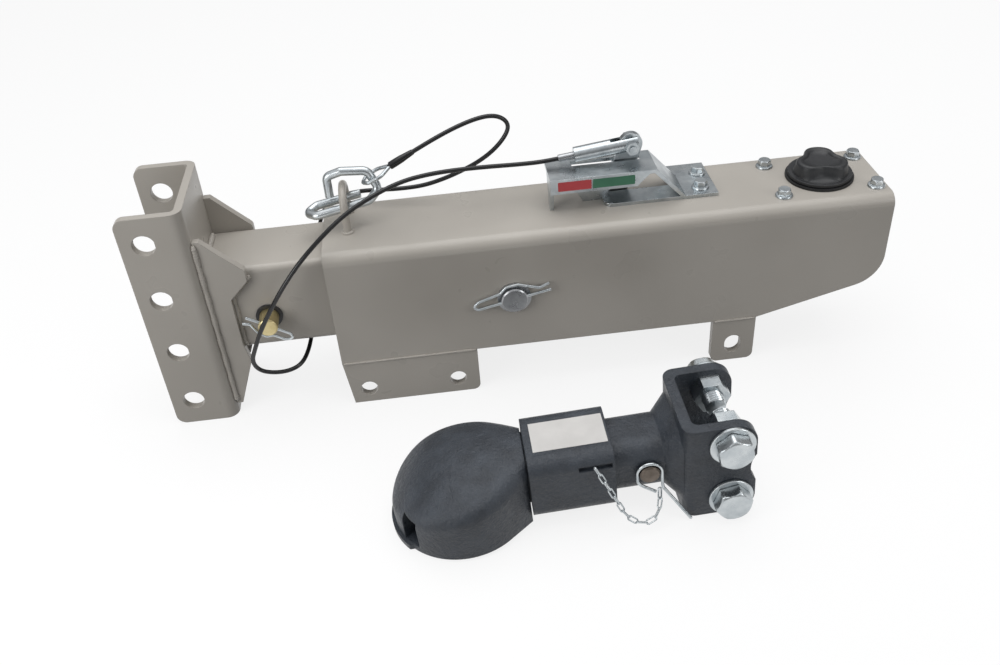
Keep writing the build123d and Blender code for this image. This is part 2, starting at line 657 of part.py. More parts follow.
def piston():
    body = rod_x(CYLINDER_BORE - FIT, PISTON_FRONT, PISTON_FRONT + 7, 0, PIN_HEIGHT)
    body += rod_x(CYLINDER_BORE - 4, PISTON_FRONT + 7, PISTON_FRONT + 14, 0, PIN_HEIGHT)
    body += rod_x(CYLINDER_BORE - FIT, PISTON_FRONT + 14, PISTON_FRONT + 20, 0, PIN_HEIGHT)
    return body


def piston_cup():
    start = PISTON_FRONT + 20
    cup = rod_x(CYLINDER_BORE - FIT, start, PISTON_FRONT + PISTON_LENGTH, 0, PIN_HEIGHT)
    return cup - rod_x(CYLINDER_BORE - 3, start + 3, PISTON_FRONT + PISTON_LENGTH + 1, 0, PIN_HEIGHT)


def return_spring():
    start = PISTON_FRONT + PISTON_LENGTH + 0.5
    length = BORE_END - start - 0.5
    turns = 5
    coil_radius = CYLINDER_BORE - 3.2
    path = Helix(length / turns * 0.98, length * 0.96, coil_radius)
    section = Plane(origin=path @ 0, z_dir=path % 0) * Circle(1.2)
    coil = sweep(section, path=path)
    return Pos(start + 1.3, 0, PIN_HEIGHT) * Rot(0, 90, 0) * coil


def push_rod():
    return rod_x(PUSH_ROD_RADIUS, SLIDE_REAR, PISTON_FRONT, 0, PIN_HEIGHT)


def push_rod_collar():
    collar = rod_x(COLLAR_RADIUS, COLLAR_X, COLLAR_X + COLLAR_WIDTH, 0, PIN_HEIGHT)
    return collar - rod_x(PUSH_ROD_RADIUS, COLLAR_X - 1, COLLAR_X + COLLAR_WIDTH + 1, 0, PIN_HEIGHT)


def filler_cap():
    seat = CASE_HEIGHT + GASKET + GAP
    waist = seat + CAP_FLANGE
    top = seat + CAP_GRIP_TOP
    cap = rod_z(CAP_RADIUS, seat, waist, CAP_X, 0)
    cap += Pos(CAP_X, 0, waist + CAP_CONE / 2) * Cone(CAP_RADIUS - 5, CAP_RADIUS - 8, CAP_CONE)
    for angle in CAP_LOBES:
        x = CAP_X + CAP_LOBE_OUT * cos(radians(angle))
        y = CAP_LOBE_OUT * sin(radians(angle))
        cap += rod_z(CAP_LOBE_RADIUS, seat + 2 * CAP_FLANGE, top, x, y)
    cap += rod_z(CAP_HUB_RADIUS, seat + 2 * CAP_FLANGE, top, CAP_X, 0)
    cap += rod_z(CAP_NECK_RADIUS - GAP, CASE_CEILING - RESERVOIR_WALL - 6, seat, CAP_X, 0)
    return cap - rod_z(CAP_NECK_RADIUS - 4, CASE_CEILING - RESERVOIR_WALL - 7, seat - 1, CAP_X, 0)


def cap_gasket():
    ring = rod_z(CAP_RADIUS + 1.5, CASE_HEIGHT, CASE_HEIGHT + GASKET, CAP_X, 0)
    return ring - rod_z(CAP_NECK_RADIUS + 1, CASE_HEIGHT - 1, CASE_HEIGHT + GASKET + 1, CAP_X, 0)


def flange_bolt(x, y, seat, shank, length, flange=7.1, across=9.5, height=6.5):
    bolt = Pos(x, y, seat) * Cone(flange, flange - 1, 1.8, align=(Align.CENTER, Align.CENTER, Align.MIN))
    bolt += Pos(x, y, seat + 1.8) * hexagon(across, height - 1.8)
    return bolt + rod_z(shank, seat - length, seat, x, y)


def cylinder_bolts():
    return [flange_bolt(x, y, CASE_HEIGHT, COVER_SCREW_RADIUS, COVER_SCREW_LENGTH) for x, y in COVER_BOLTS]


def bracket_bolts():
    seat = CASE_HEIGHT + BRACKET_SHEET
    return [flange_bolt(x, y, seat, BRACKET_SCREW_RADIUS, BRACKET_SCREW_LENGTH) for x, y in BRACKET_BOLTS]


# Breakaway lever, link and bracket


def lever_place():
    return Pos(LEVER_X, LEVER_Y, LEVER_PIVOT_HEIGHT) * Rot(0, LEVER_SWING, 0)


def breakaway_lever():
    half = LEVER_PLATE / 2
    top = LEVER_ARM
    bar = block(-LEVER_WIDTH / 2, LEVER_WIDTH / 2, -half, half, -LEVER_TAIL, top)
    bar += rod_y(LEVER_WIDTH / 2, -half, half, 0, top)
    bar += rod_y(LEVER_WIDTH / 2, -half, half, 0, -LEVER_TAIL)
    bar -= rod_y(LEVER_PIVOT_RADIUS + FIT, -half - 1, half + 1, 0, 0)
    rise = LEVER_ARM * (1 - cos(radians(LEVER_SWING)))
    slot = LINK_BOLT_RADIUS + 0.5
    bar -= slot_y(slot, rise + 1.0, -half - 1, half + 1, 0, top - rise / 2)
    return lever_place() * bar


def lever_ears():
    ears = []
    for side in (-1, 1):
        start = LEVER_Y + side * (LEVER_PLATE / 2 + EAR_CLEAR)
        y0, y1 = sorted((start, start + side * EAR_PLATE))
        ear = block(LEVER_X - EAR_RADIUS, LEVER_X + EAR_RADIUS, y0, y1, LEVER_PIVOT_HEIGHT, CASE_CEILING)
        ear += rod_y(EAR_RADIUS, y0, y1, LEVER_X, LEVER_PIVOT_HEIGHT)
        ear -= rod_y(LEVER_PIVOT_RADIUS + FIT, y0 - 1, y1 + 1, LEVER_X, LEVER_PIVOT_HEIGHT)
        ears.append(ear)
    return ears


def lever_pivot():
    reach = LEVER_PLATE / 2 + EAR_CLEAR + EAR_PLATE
    pin = rod_y(LEVER_PIVOT_RADIUS, LEVER_Y - reach - 4, LEVER_Y + reach, LEVER_X, LEVER_PIVOT_HEIGHT)
    pin += rod_y(8, LEVER_Y + reach, LEVER_Y + reach + 3, LEVER_X, LEVER_PIVOT_HEIGHT)
    return pin


def link_place():
    return Pos(LINK_X, LEVER_Y, LINK_HEIGHT) * Rot(0, -LINK_TILT, 0)


def link_tube():
    tube = rod_x(LINK_RADIUS, -LINK_FRONT, 6, 0, 0)
    tube -= rod_x(LINK_BORE, -LINK_FRONT + 8, 7, 0, 0)
    tube -= rod_x(CABLE_RADIUS + 1.3, -LINK_FRONT - 1, -LINK_FRONT + 9, 0, 0)
    half = LEVER_PLATE / 2 + 0.5
    tube -= block(-16, 7, -half, half, -LINK_RADIUS - 1, LINK_RADIUS + 1)
    tube -= rod_y(LINK_BOLT_RADIUS, -9, 9, 0, 0)
    return link_place() * tube


def link_bolt():
    bolt = rod_y(LINK_BOLT_RADIUS, -LINK_RADIUS - 7, LINK_RADIUS, 0, 0)
    head = Pos(0, LINK_RADIUS + 4, 0) * Rot(90, 0, 0) * hexagon(10, 4)
    return link_place() * (bolt + head)


def link_nut():
    nut = Pos(0, -LINK_RADIUS, 0) * Rot(90, 0, 0) * hexagon(10, 5.5)
    return link_place() * (nut - rod_y(LINK_BOLT_RADIUS, -20, 0, 0, 0))


def cable_ferrule():
    ferrule = rod_x(CABLE_RADIUS + 1.2, -LINK_FRONT - 13, -LINK_FRONT + 7, 0, 0)
    return link_place() * ferrule


def breakaway_bracket():
    deck = CASE_HEIGHT
    sheet = BRACKET_SHEET
    base = block(RAMP_FOOT - 8, BRACKET_REAR, BRACKET_NEAR_Y, BASE_FAR_Y, deck, deck + sheet)
    strip_far = LEVER_Y - LEVER_PLATE / 2 - 2
    strip = block(BASE_STRIP_FRONT, RAMP_FOOT, BRACKET_NEAR_Y, strip_far, deck, deck + sheet)
    front = strip.edges().filter_by(Axis.Z).sort_by_distance((BASE_STRIP_FRONT, BRACKET_NEAR_Y, deck))[0]
    strip = fillet(front, 7)
    ramp = [
        (RAMP_FOOT + 1, deck + sheet),
        (RAMP_FOOT - 3, deck + sheet),
        (BRACKET_CREST - 2, BRACKET_TOP - sheet),
        (BRACKET_FRONT, BRACKET_TOP - sheet),
        (BRACKET_FRONT, BRACKET_TOP),
        (BRACKET_CREST, BRACKET_TOP),
    ]
    crown = side_plate(ramp, BRACKET_NEAR_Y, BRACKET_FAR_Y)
    lip_top = BRACKET_TOP - 1
    lip = side_plate(
        [
            (BRACKET_FRONT, lip_top),
            (BRACKET_CREST - 4, lip_top),
            (BRACKET_CREST - 16, BRACKET_TOP - LIP_DEPTH),
            (BRACKET_FRONT, BRACKET_TOP - LIP_DEPTH),
        ],
        BRACKET_NEAR_Y,
        BRACKET_NEAR_Y + sheet,
    )
    foot_plan = [(BRACKET_NEAR_Y, BRACKET_TOP - 1), (9, BRACKET_TOP - 1), (-2, deck), (-9, deck)]
    outline = Polyline(*[(BRACKET_FRONT, y, z) for y, z in foot_plan], close=True)
    foot = extrude(make_face(outline), sheet, dir=(1, 0, 0))
    web = side_plate(
        [
            (LEVER_X - 29.5, BRACKET_TOP - 1),
            (LEVER_X + 20.5, BRACKET_TOP - 1),
            (LEVER_X + 8.5, BRACKET_TOP - LIP_DEPTH),
            (LEVER_X - 5, deck),
            (LEVER_X - 20, deck),
            (LEVER_X - 29.5, BRACKET_TOP - LIP_DEPTH),
        ],
        0,
        sheet,
    )
    bracket = base + strip + crown + lip + foot + web
    bracket -= lever_slot(BRACKET_TOP - sheet - 1, BRACKET_TOP + 1, BRACKET_TOP)
    for x, y in BRACKET_BOLTS:
        bracket -= rod_z(BRACKET_SCREW_RADIUS + FIT, deck - 1, deck + sheet + 1, x, y)
    return bracket


# Breakaway cable: near strand down the side of the slide, under it, up the far side and
# round a free loop back to the safety hook on the arch


def cable_points():
    reach = LINK_FRONT + 13
    start_x = LINK_X - reach * cos(radians(LINK_TILT))
    start_z = LINK_HEIGHT - reach * sin(radians(LINK_TILT))
    route = [
        (start_x - 12 * cos(radians(LINK_TILT)), LEVER_Y, start_z - 12 * sin(radians(LINK_TILT))),
        (105.5, 9.0, 139.5),
        (79.5, 5.0, 142.5),
        (54.0, 1.5, 144.5),
        (31.5, -2.0, 145.0),
        (11.0, -8.0, 144.5),
        (-11.0, -17.5, 140.5),
        (-34.5, -29.0, 133.0),
        (-56.0, -43.0, 121.0),
        (-74.0, -51.5, 106.5),
        (-90.0, -56.0, 88.0),
        (-102.0, -57.5, 70.5),
        (-113.0, -57.0, 52.5),
        (-121.5, -55.0, 34.0),
        (-127.5, -51.5, 19.0),
        (-124.0, -49.0, 7.0),
        (-113.0, -48.5, 2.5),
        (-100.0, -48.0, 2.5),
        (-90.0, -42.0, 3.5),
        (-84.5, -28.0, 6.5),
        (-82.0, -4.0, 9.0),
        (-81.0, 20.0, 11.0),
        (-80.5, 38.0, 12.5),
        (-79.5, 50.5, 21.5),
        (-76.0, 56.0, 42.0),
        (-71.0, 57.5, 63.0),
        (-64.5, 56.0, 83.5),
        (-58.5, 53.0, 95.5),
        (-49.0, 47.0, 106.0),
        (-37.0, 41.0, 112.5),
        (-23.0, 37.0, 116.0),
        (-7.5, 34.0, 116.5),
        (9.5, 31.5, 117.0),
        (27.5, 29.0, 119.0),
        (44.5, 27.5, 124.0),
        (59.0, 27.0, 129.5),
        (73.0, 27.5, 135.5),
        (86.0, 28.5, 143.5),
        (96.0, 30.0, 153.0),
        (101.0, 31.0, 162.0),
        (98.5, 31.0, 169.0),
        (90.5, 30.0, 174.0),
        (78.5, 28.5, 174.5),
        (61.0, 24.0, 171.5),
        (39.0, 17.5, 165.0),
        (22.5, 14.0, 158.0),
    ]
    return [(start_x, LEVER_Y, start_z)] + route


def breakaway_cable():
    points = cable_points()
    radii = corner_radii(points)
    tube, length = wire_rod(points, radii, CABLE_RADIUS)
    print("cable radii", [round(r, 1) for r in radii])
    print("cable length", round(length, 1), "volume", round(tube.volume, 1))
    print("section times length", round(pi * CABLE_RADIUS ** 2 * length, 1))
    return tube


def cable_sleeve():
    # Crimped black sleeve between the cable's end and the wire eye
    points = cable_points()
    tip = Vector(*points[-1])
    along = (tip - Vector(*points[-2])).normalized()
    plane = Plane(origin=tip, z_dir=along)
    sleeve = plane * extrude(Circle(SLEEVE_RADIUS), CRIMP_LENGTH)
    return sleeve


def cable_eye():
    points = cable_points()
    tip = Vector(*points[-1])
    along = (tip - Vector(*points[-2])).normalized()
    root = tip + along * (CRIMP_LENGTH + 0.9)
    side = along.cross(Vector(0, 1, 0).cross(along)).normalized()
    loop = [
        root + side * 1.6,
        root + along * 9 + side * 8.5,
        root + along * 20 + side * 6.5,
        root + along * 24,
        root + along * 20 - side * 6.5,
        root + along * 9 - side * 8.5,
        root - side * 1.6,
    ]
    return wire_rod([(p.X, p.Y, p.Z) for p in loop], [8, 4, 3, 4, 8], EYE_ROD * 0.75)[0]


def safety_hook():
    # One bent rod: the long loop lies through the arch, the short one turns over its top
    points = [
        (-24, 14.3, 126),
        (-60, 14.3, 119),
        (-68, 6.8, 117),
        (-60, -0.7, 118),
        (-16, -0.7, 127),
        (-8, 4.5, 134),
        (-15, 7.5, 149),
        (-36, 9, 150),
        (-48, 10, 146),
        (-48, 9, 129),
    ]
    return wire_rod(points, [5.5, 4, 5.5, 6, 6, 7, 6, 5], HOOK_ROD)[0]


# Coupler head


def in_head(shape):
    return HEAD_PLACE * shape


def housing():
    # Upright wall on a circle that runs out to the neck, under a crowned top that falls to the nose
    base = HOUSING_LIFT
    cx = HOUSING_RADIUS
    run = SLEEVE_FRONT - 1 - cx
    side = NECK_WIDTH / 2 + HOUSING_STEP
    touch = atan2(side, run) + acos(HOUSING_RADIUS / hypot(run, side))
    tx = cx + HOUSING_RADIUS * cos(touch)
    ty = HOUSING_RADIUS * sin(touch)
    nose = ThreePointArc((tx, -ty, base), (0, 0, base), (tx, ty, base))
    flanks = Polyline((tx, ty, base), (cx + run, side, base), (cx + run, -side, base), (tx, -ty, base))
    wall = extrude(make_face([nose, flanks]), DOME_HEIGHT + 10, dir=(0, 0, 1))
    shell = wall & loft([crown_section(u, v) for u, v in CREST_LINE + [(SLEEVE_FRONT + 10, CREST_END)]])
    long_edges = shell.edges().filter_by(lambda e: e.length > 20 and abs((e @ 0).Z - (e @ 1).Z) < 10)
    rim = long_edges.filter_by(lambda e: (e @ 0.5).Z > base + 5 and (e @ 0.5).X < cx + run - 1)
    shell = fillet(rim, HOUSING_ROLL)
    lip = rod_z(HOUSING_RADIUS + RIM_LIP, base, base + RIM_LIP_HEIGHT, cx, 0)
    return shell + (lip & block(-2 * RIM_LIP, 22, -34, 42, base, base + RIM_LIP_HEIGHT))


def crown_section(u, crest):
    # Face across the head at u, flat below and arched above up to the crest
    half = HOUSING_RADIUS + 7
    low = crest - CROWN_DROP
    arc = ThreePointArc((u, -half, low), (u, 0, crest), (u, half, low))
    return make_face([arc, Polyline((u, half, low), (u, half, 0), (u, -half, 0), (u, -half, low))])


def nose_slot():
    # Slot through the housing wall, to the near side of the nose
    base = HOUSING_LIFT
    half = NOSE_SLOT_WIDTH / 2
    slot = block(-HOUSING_RADIUS - 4, -10, -half, half, base + NOSE_SLOT_BASE, base + NOSE_SLOT_TOP)
    return Pos(HOUSING_RADIUS, 0, 0) * Rot(0, 0, NOSE_SLOT_TURN) * slot


def head_casting():
    base = HOUSING_LIFT
    cx = HOUSING_RADIUS
    casting = housing()
    neck = bar_x(NECK_WIDTH, NECK_HEIGHT, NECK_CORNER, cx + 20, CLEVIS_FRONT + 4, 0, NECK_AXIS)
    casting += neck
    casting += clevis_walls()
    ball = BALL_RADIUS + BALL_CLEAR
    ball_height = base + BALL_HEIGHT
    cup = Pos(cx, 0, ball_height) * Sphere(ball)
    casting -= cup & rod_z(ball + 1, ball_height - ball, ball_height + ball - CUP_FLAT, cx, 0)
    casting -= rod_z(ball, base - 1, ball_height, cx, 0)
    casting -= nose_slot()
    clamp_side = CLAMP_SIDE + 1
    casting -= block(cx, CLAMP_X + 2, -clamp_side, clamp_side, base - 1, base + 22)
    pin_reach = NECK_WIDTH / 2 - 1
    casting -= rod_y(CLAMP_PIN_RADIUS, -pin_reach, pin_reach, CLAMP_X - CLAMP_PIN_SET, base + CLAMP_PIN_HEIGHT)
    casting -= rod_y(SAFETY_PIN_RADIUS + FIT, -40, 40, SAFETY_PIN_X, NECK_AXIS)
    return in_head(casting)


def clevis_walls():
    half = CLEVIS_WIDTH / 2
    web = CLEVIS_FRONT + CLEVIS_WALL
    solid = block(CLEVIS_FRONT, CLEVIS_REAR, -half, half, 0, CLEVIS_HEIGHT)
    solid = fillet(solid.edges().filter_by(Axis.Y).group_by(Axis.X)[-1], CLEVIS_LOBE - 1)
    solid = fillet(solid.edges().filter_by(Axis.Z).group_by(Axis.X)[0], 9)
    notch = rod_y(22, -half - 1, half + 1, CLEVIS_REAR + 18, NECK_AXIS)
    solid -= notch
    pocket = block(web, CLEVIS_REAR + 1, -half + CLEVIS_WALL, half - CLEVIS_WALL, -1, CLEVIS_HEIGHT + 1)
    pocket = fillet(pocket.edges().filter_by(Axis.Z).group_by(Axis.X)[0], 5)
    solid -= pocket
    flare = loft(
        [
            Plane(origin=(CLEVIS_FRONT - 12, 0, NECK_AXIS), z_dir=(1, 0, 0)) * clevis_ring(0),
            Plane(origin=(CLEVIS_FRONT + 1, 0, NECK_AXIS), z_dir=(1, 0, 0)) * clevis_ring(8),
        ]
    )
    solid += flare
    for v in CLEVIS_BOLT_V:
        solid -= rod_y(CLEVIS_BOLT_RADIUS + 0.4, -half - 1, half + 1, CLEVIS_BOLT_X, v)
    return solid


def clevis_ring(grow):
    # Section of the neck, grown towards the clevis
    width = NECK_WIDTH - 1 + 2 * grow
    height = NECK_HEIGHT - 1 + 3 * grow
    return Rot(0, 0, 90) * RectangleRounded(width, height, NECK_CORNER - 1)


def latch_sleeve():
    rear = SLEEVE_FRONT + SLEEVE_LENGTH
    sleeve = bar_x(SLEEVE_WIDTH, SLEEVE_HEIGHT, 11, SLEEVE_FRONT, rear, 0, NECK_AXIS)
    sleeve -= bar_x(
        NECK_WIDTH + 2 * GAP,
        NECK_HEIGHT + 2 * GAP,
        NECK_CORNER + GAP,
        SLEEVE_FRONT - 1,
        rear + 1,
        0,
        NECK_AXIS,
    )
    notch_y = -SLEEVE_WIDTH / 2 + 3.5
    sleeve -= block(rear - 26, rear - 2, -SLEEVE_WIDTH, notch_y, NECK_AXIS + 15, NECK_AXIS + 19)
    return in_head(sleeve)


def safety_pin():
    half = NECK_WIDTH / 2
    pin = rod_y(SAFETY_PIN_RADIUS, -half - SAFETY_PIN_OVERHANG, half, SAFETY_PIN_X, NECK_AXIS)
    pin = chamfer(pin.edges().group_by(Axis.Y)[0], 1.0)
    pin += rod_y(SAFETY_PIN_RADIUS + 2, half, half + 4, SAFETY_PIN_X, NECK_AXIS)
    return in_head(pin)


def pin_bail():
    # Wire bail that snaps round the pin's near end, with its tail hanging down
    y = -NECK_WIDTH / 2 - SAFETY_PIN_OVERHANG / 2
    ring = SAFETY_PIN_RADIUS + BAIL_WIRE + GAP
    x = SAFETY_PIN_X
    z = NECK_AXIS
    points = [
        (x + 3 * ring, y - 12.5, z - 4.4 * ring),
        (x + ring, y - 1, z - 1.6 * ring),
        (x + ring, y, z + ring),
        (x - ring, y, z + ring),
        (x - ring, y, z - ring),
        (x + 0.4 * ring, y - 3.2, z - 1.8 * ring),
    ]
    return in_head(wire_rod(points, [6, ring - 0.4, ring - 0.4, ring - 1.5], BAIL_WIRE)[0])


def ball_clamp():
    base = HOUSING_LIFT
    jaw = block(CLAMP_X - CLAMP_LENGTH, CLAMP_X, -CLAMP_SIDE, CLAMP_SIDE, base + 3, base + 17)
    jaw = fillet(jaw.edges().filter_by(Axis.Y).group_by(Axis.X)[-1], 5)
    jaw -= Pos(HOUSING_RADIUS, 0, base + BALL_HEIGHT) * Sphere(BALL_RADIUS + 0.4)
    jaw -= rod_y(CLAMP_PIN_RADIUS + FIT, -20, 20, CLAMP_X - CLAMP_PIN_SET, base + CLAMP_PIN_HEIGHT)
    return in_head(jaw)


def clamp_pin():
    reach = NECK_WIDTH / 2 - 1
    height = HOUSING_LIFT + CLAMP_PIN_HEIGHT
    return in_head(rod_y(CLAMP_PIN_RADIUS, -reach, reach, CLAMP_X - CLAMP_PIN_SET, height))


def clevis_bolts():
    half = CLEVIS_WIDTH / 2
    bolts = []
    for v in CLEVIS_BOLT_V:
        for side in (-1, 1):
            face = half + CLEVIS_WASHER
            shank = rod_y(CLEVIS_BOLT_RADIUS, -face, -face + CLEVIS_BOLT_LENGTH, CLEVIS_BOLT_X, v)
            head = Pos(CLEVIS_BOLT_X, -face, v) * Rot(90, 0, 0) * hexagon(CLEVIS_BOLT_HEX, CLEVIS_BOLT_HEAD)
            bolts.append(in_head(mirror_side(shank + head, side)))
    return bolts


def mirror_side(shape, side):
    if side < 0:
        return shape
    return mirror(shape, about=Plane.XZ)


def clevis_washers():
    half = CLEVIS_WIDTH / 2
    rings = []
    for v in CLEVIS_BOLT_V:
        for side in (-1, 1):
            ring = rod_y(CLEVIS_WASHER_RADIUS, -half - CLEVIS_WASHER, -half, CLEVIS_BOLT_X, v)
            ring -= rod_y(CLEVIS_BOLT_RADIUS + 0.4, -half - 4, -half + 1, CLEVIS_BOLT_X, v)
            rings.append(in_head(mirror_side(ring, side)))
    return rings


def clevis_nuts():
    inside = CLEVIS_WIDTH / 2 - CLEVIS_WALL
    nuts = []
    for v in CLEVIS_BOLT_V:
        for side in (-1, 1):
            nut = Rot(90, 0, 0) * hexagon(CLEVIS_BOLT_HEX, CLEVIS_NUT)
            nut = Pos(CLEVIS_BOLT_X, -inside + CLEVIS_NUT, v) * nut
            nut -= rod_y(CLEVIS_BOLT_RADIUS, -inside - 1, -inside + 15, CLEVIS_BOLT_X, v)
            nuts.append(in_head(mirror_side(nut, side)))
    return nuts


def retainer_chain():
    route = [(SLEEVE_FRONT + u, y, v) for u, y, v in CHAIN_ROUTE]
    path = FilletPolyline(*route, radius=corner_radii(route))
    count = int(path.length / CHAIN_PITCH)
    links = []
    for i in range(count):
        here = (i + 0.5) / count
        spot = path @ here
        outside = SlotOverall(CHAIN_LINK_LENGTH, CHAIN_LINK_WIDTH)
        inside = SlotOverall(CHAIN_LINK_LENGTH - 2 * CHAIN_WIRE, CHAIN_LINK_WIDTH - 2 * CHAIN_WIRE)
        link = extrude(outside - inside, CHAIN_LINK_DEPTH / 2, both=True)
        plane = Plane(origin=spot, x_dir=path % here, z_dir=chain_normal(path % here, i))
        links.append(in_head(plane * link))
    return links


def chain_normal(along, index):
    side = along.cross(Vector(0.2, 1, 0.1)).normalized()
    if index % 2:
        return along.cross(side).normalized()
    return side


NODES = {
    "case_shell": case_shell,
    "case_floor": case_floor,
    "front_brackets": front_brackets,
    "rear_brackets": rear_brackets,
    "cable_arch": cable_arch,
    "bottom_wear_pads": lambda: wear_pad_solids("bottom"),
    "top_wear_pads": lambda: wear_pad_solids("top"),
    "side_wear_pads": lambda: wear_pad_solids("side"),
    "main_pin": main_pin,
    "main_pin_clip": main_pin_clip,
    "main_pin_washer": main_pin_washer,
    "damper_rod": damper_rod,
    "master_cylinder": master_cylinder,
    "cylinder_bolts": cylinder_bolts,
    "cap_gasket": cap_gasket,
    "lever_ears": lever_ears,
    "lever_pivot": lever_pivot,
    "breakaway_bracket": breakaway_bracket,
    "bracket_bolts": bracket_bolts,
    "breakaway_cable": breakaway_cable,
    "cable_sleeve": cable_sleeve,
    "cable_eye": cable_eye,
    "safety_hook": safety_hook,
    "slide_tube": slide_tube,
    "slide_end_plate": slide_end_plate,
    "channel_bracket": channel_bracket,
    "gussets": gussets,
    "front_pin": front_pin,
    "front_pin_clip": front_pin_clip,
    "front_pin_washer": front_pin_washer,
    "damper_tube": damper_tube,
    "push_rod": push_rod,
    "push_rod_collar": push_rod_collar,
    "piston": piston,
    "piston_cup": piston_cup,
    "return_spring": return_spring,
    "breakaway_lever": breakaway_lever,
    "link_tube": link_tube,
    "link_bolt": link_bolt,
    "link_nut": link_nut,
    "cable_ferrule": cable_ferrule,
    "filler_cap": filler_cap,
    "head_casting": head_casting,
    "clevis_bolts": clevis_bolts,
    "clevis_washers": clevis_washers,
    "clevis_nuts": clevis_nuts,
    "retainer_chain": retainer_chain,
    "latch_sleeve": latch_sleeve,
    "safety_pin": safety_pin,
    "pin_bail": pin_bail,
    "ball_clamp": ball_clamp,
    "clamp_pin": clamp_pin,
}

os.makedirs("parts", exist_ok=True)
for name, make in NODES.items():
    made = make()
    solids = made if isinstance(made, list) else [made]
    export_step(Compound(children=[s for shape in solids for s in shape.solids()]), f"parts/{name}.step")
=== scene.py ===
# %% [markdown]
# # A surge brake coupler, dressed for a photograph
# The CAD model gives every solid its true place and size. This script loads it as a fixed
# frame, adds what CAD leaves plain, such as weld beads, rolled edges on bolt heads and a
# flexible cable, and gives each surface a procedural finish. The scene is in metres. Points
# are worked out in millimetres, and make_piece scales them when it makes the mesh.

# %% Load the frame
import bpy
import json
import numpy as np
from mathutils import Matrix


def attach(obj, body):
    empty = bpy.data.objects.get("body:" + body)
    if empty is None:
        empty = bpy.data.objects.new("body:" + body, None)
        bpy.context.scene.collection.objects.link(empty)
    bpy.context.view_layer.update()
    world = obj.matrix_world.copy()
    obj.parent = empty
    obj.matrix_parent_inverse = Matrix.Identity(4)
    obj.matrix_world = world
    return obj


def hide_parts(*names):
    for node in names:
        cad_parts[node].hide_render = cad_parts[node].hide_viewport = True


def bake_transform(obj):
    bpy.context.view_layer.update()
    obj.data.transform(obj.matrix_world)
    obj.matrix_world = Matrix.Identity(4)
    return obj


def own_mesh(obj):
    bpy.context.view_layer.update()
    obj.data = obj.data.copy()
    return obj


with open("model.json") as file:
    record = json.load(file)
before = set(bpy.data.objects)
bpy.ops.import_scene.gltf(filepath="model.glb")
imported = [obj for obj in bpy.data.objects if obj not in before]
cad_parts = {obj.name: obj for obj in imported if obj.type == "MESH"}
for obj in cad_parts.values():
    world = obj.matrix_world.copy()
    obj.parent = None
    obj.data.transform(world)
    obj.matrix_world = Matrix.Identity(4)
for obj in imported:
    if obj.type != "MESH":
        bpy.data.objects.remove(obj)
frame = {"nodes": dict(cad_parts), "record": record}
nodes = frame["nodes"]
scene = bpy.context.scene
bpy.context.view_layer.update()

MM = 0.001
FLOOR_Z = -43.3 * MM

# %% [markdown]
# ## Camera
# The photograph was taken from in front and above, with a slight roll. The three turns below
# are a heading about the vertical, a pitch below the horizon and a roll about the line of
# sight. A Track To constraint could aim a camera, but it keeps the horizon level, so the
# matrix is built here instead. A camera looks along its own -Z, so its matrix has the sight
# line reversed as its third column.

# %% Camera
HEADING, PITCH, ROLL = np.radians([3.41, 37.04, 4.47])
CAMERA_SPOT = (0.03715, -0.70497, 0.51372)
FOCAL_MM = 35.85


def camera_axes(heading, pitch, roll):
    """Columns of the camera's turn: sight line from heading and pitch, then right and up
    turned about it by the roll."""
    level = np.cos(pitch)
    sight = np.array([np.sin(heading) * level, np.cos(heading) * level, -np.sin(pitch)])
    right = np.array([np.cos(heading), -np.sin(heading), 0.0])
    down = np.cross(sight, right)
    rolled_right = np.cos(roll) * right + np.sin(roll) * down
    rolled_down = np.cos(roll) * down - np.sin(roll) * right
    return rolled_right, -rolled_down, -sight


camera_data = bpy.data.cameras.new("photo_camera")
camera_data.lens = FOCAL_MM
camera_data.sensor_width = 36.0
camera_data.clip_start = 0.05
camera = bpy.data.objects.new("photo_camera", camera_data)
scene.collection.objects.link(camera)
turn = np.eye(4)
turn[:3, :3] = np.array(camera_axes(HEADING, PITCH, ROLL)).T
turn[:3, 3] = CAMERA_SPOT
camera.matrix_world = Matrix(turn.tolist())
scene.camera = camera
print("camera looks along", np.round(-turn[:3, 2], 3))

# %% [markdown]
# ## From arrays to meshes
# Most pieces below are surfaces: a grid of points, one row after another, whose quads join
# each row to the next. The grid closes on itself around the tube, and its two ends are
# filled with a fan. Primitives and modifiers could make many of them. A formula on whole
# numpy arrays is as short, though, and it puts each point where the CAD says.

# %% Mesh helpers
SHARP = np.radians(38)


def grid_faces(rows, columns):
    """Quads that join each row to the next, and the last column to the first."""
    row, column = np.meshgrid(np.arange(rows - 1), np.arange(columns), indexing="ij")
    after = (column + 1) % columns
    here, below = row * columns, (row + 1) * columns
    quads = np.stack([here + column, here + after, below + after, below + column], -1)
    return quads.reshape(-1, 4)


def tube_mesh(points):
    """Vertices and faces of a closed tube from points[row, column, xyz], its ends filled
    by a fan around their middle points."""
    rows, columns = points.shape[:2]
    flat = points.reshape(-1, 3)
    ends = np.array([points[0].mean(0), points[-1].mean(0)])
    first, last = rows * columns, rows * columns + 1
    ring = np.arange(columns)
    after = (ring + 1) % columns
    start_fan = np.stack([np.full(columns, first), after, ring], -1)
    base = (rows - 1) * columns
    end_fan = np.stack([np.full(columns, last), ring + base, after + base], -1)
    faces = grid_faces(rows, columns).tolist() + start_fan.tolist() + end_fan.tolist()
    return np.vstack([flat, ends]), faces


def joined(parts):
    """One vertex array and face list from several (vertices, faces) pairs."""
    offset = 0
    vertices, faces = [], []
    for part_vertices, part_faces in parts:
        vertices.append(part_vertices)
        faces += [[index + offset for index in face] for face in part_faces]
        offset += len(part_vertices)
    return np.vstack(vertices), faces


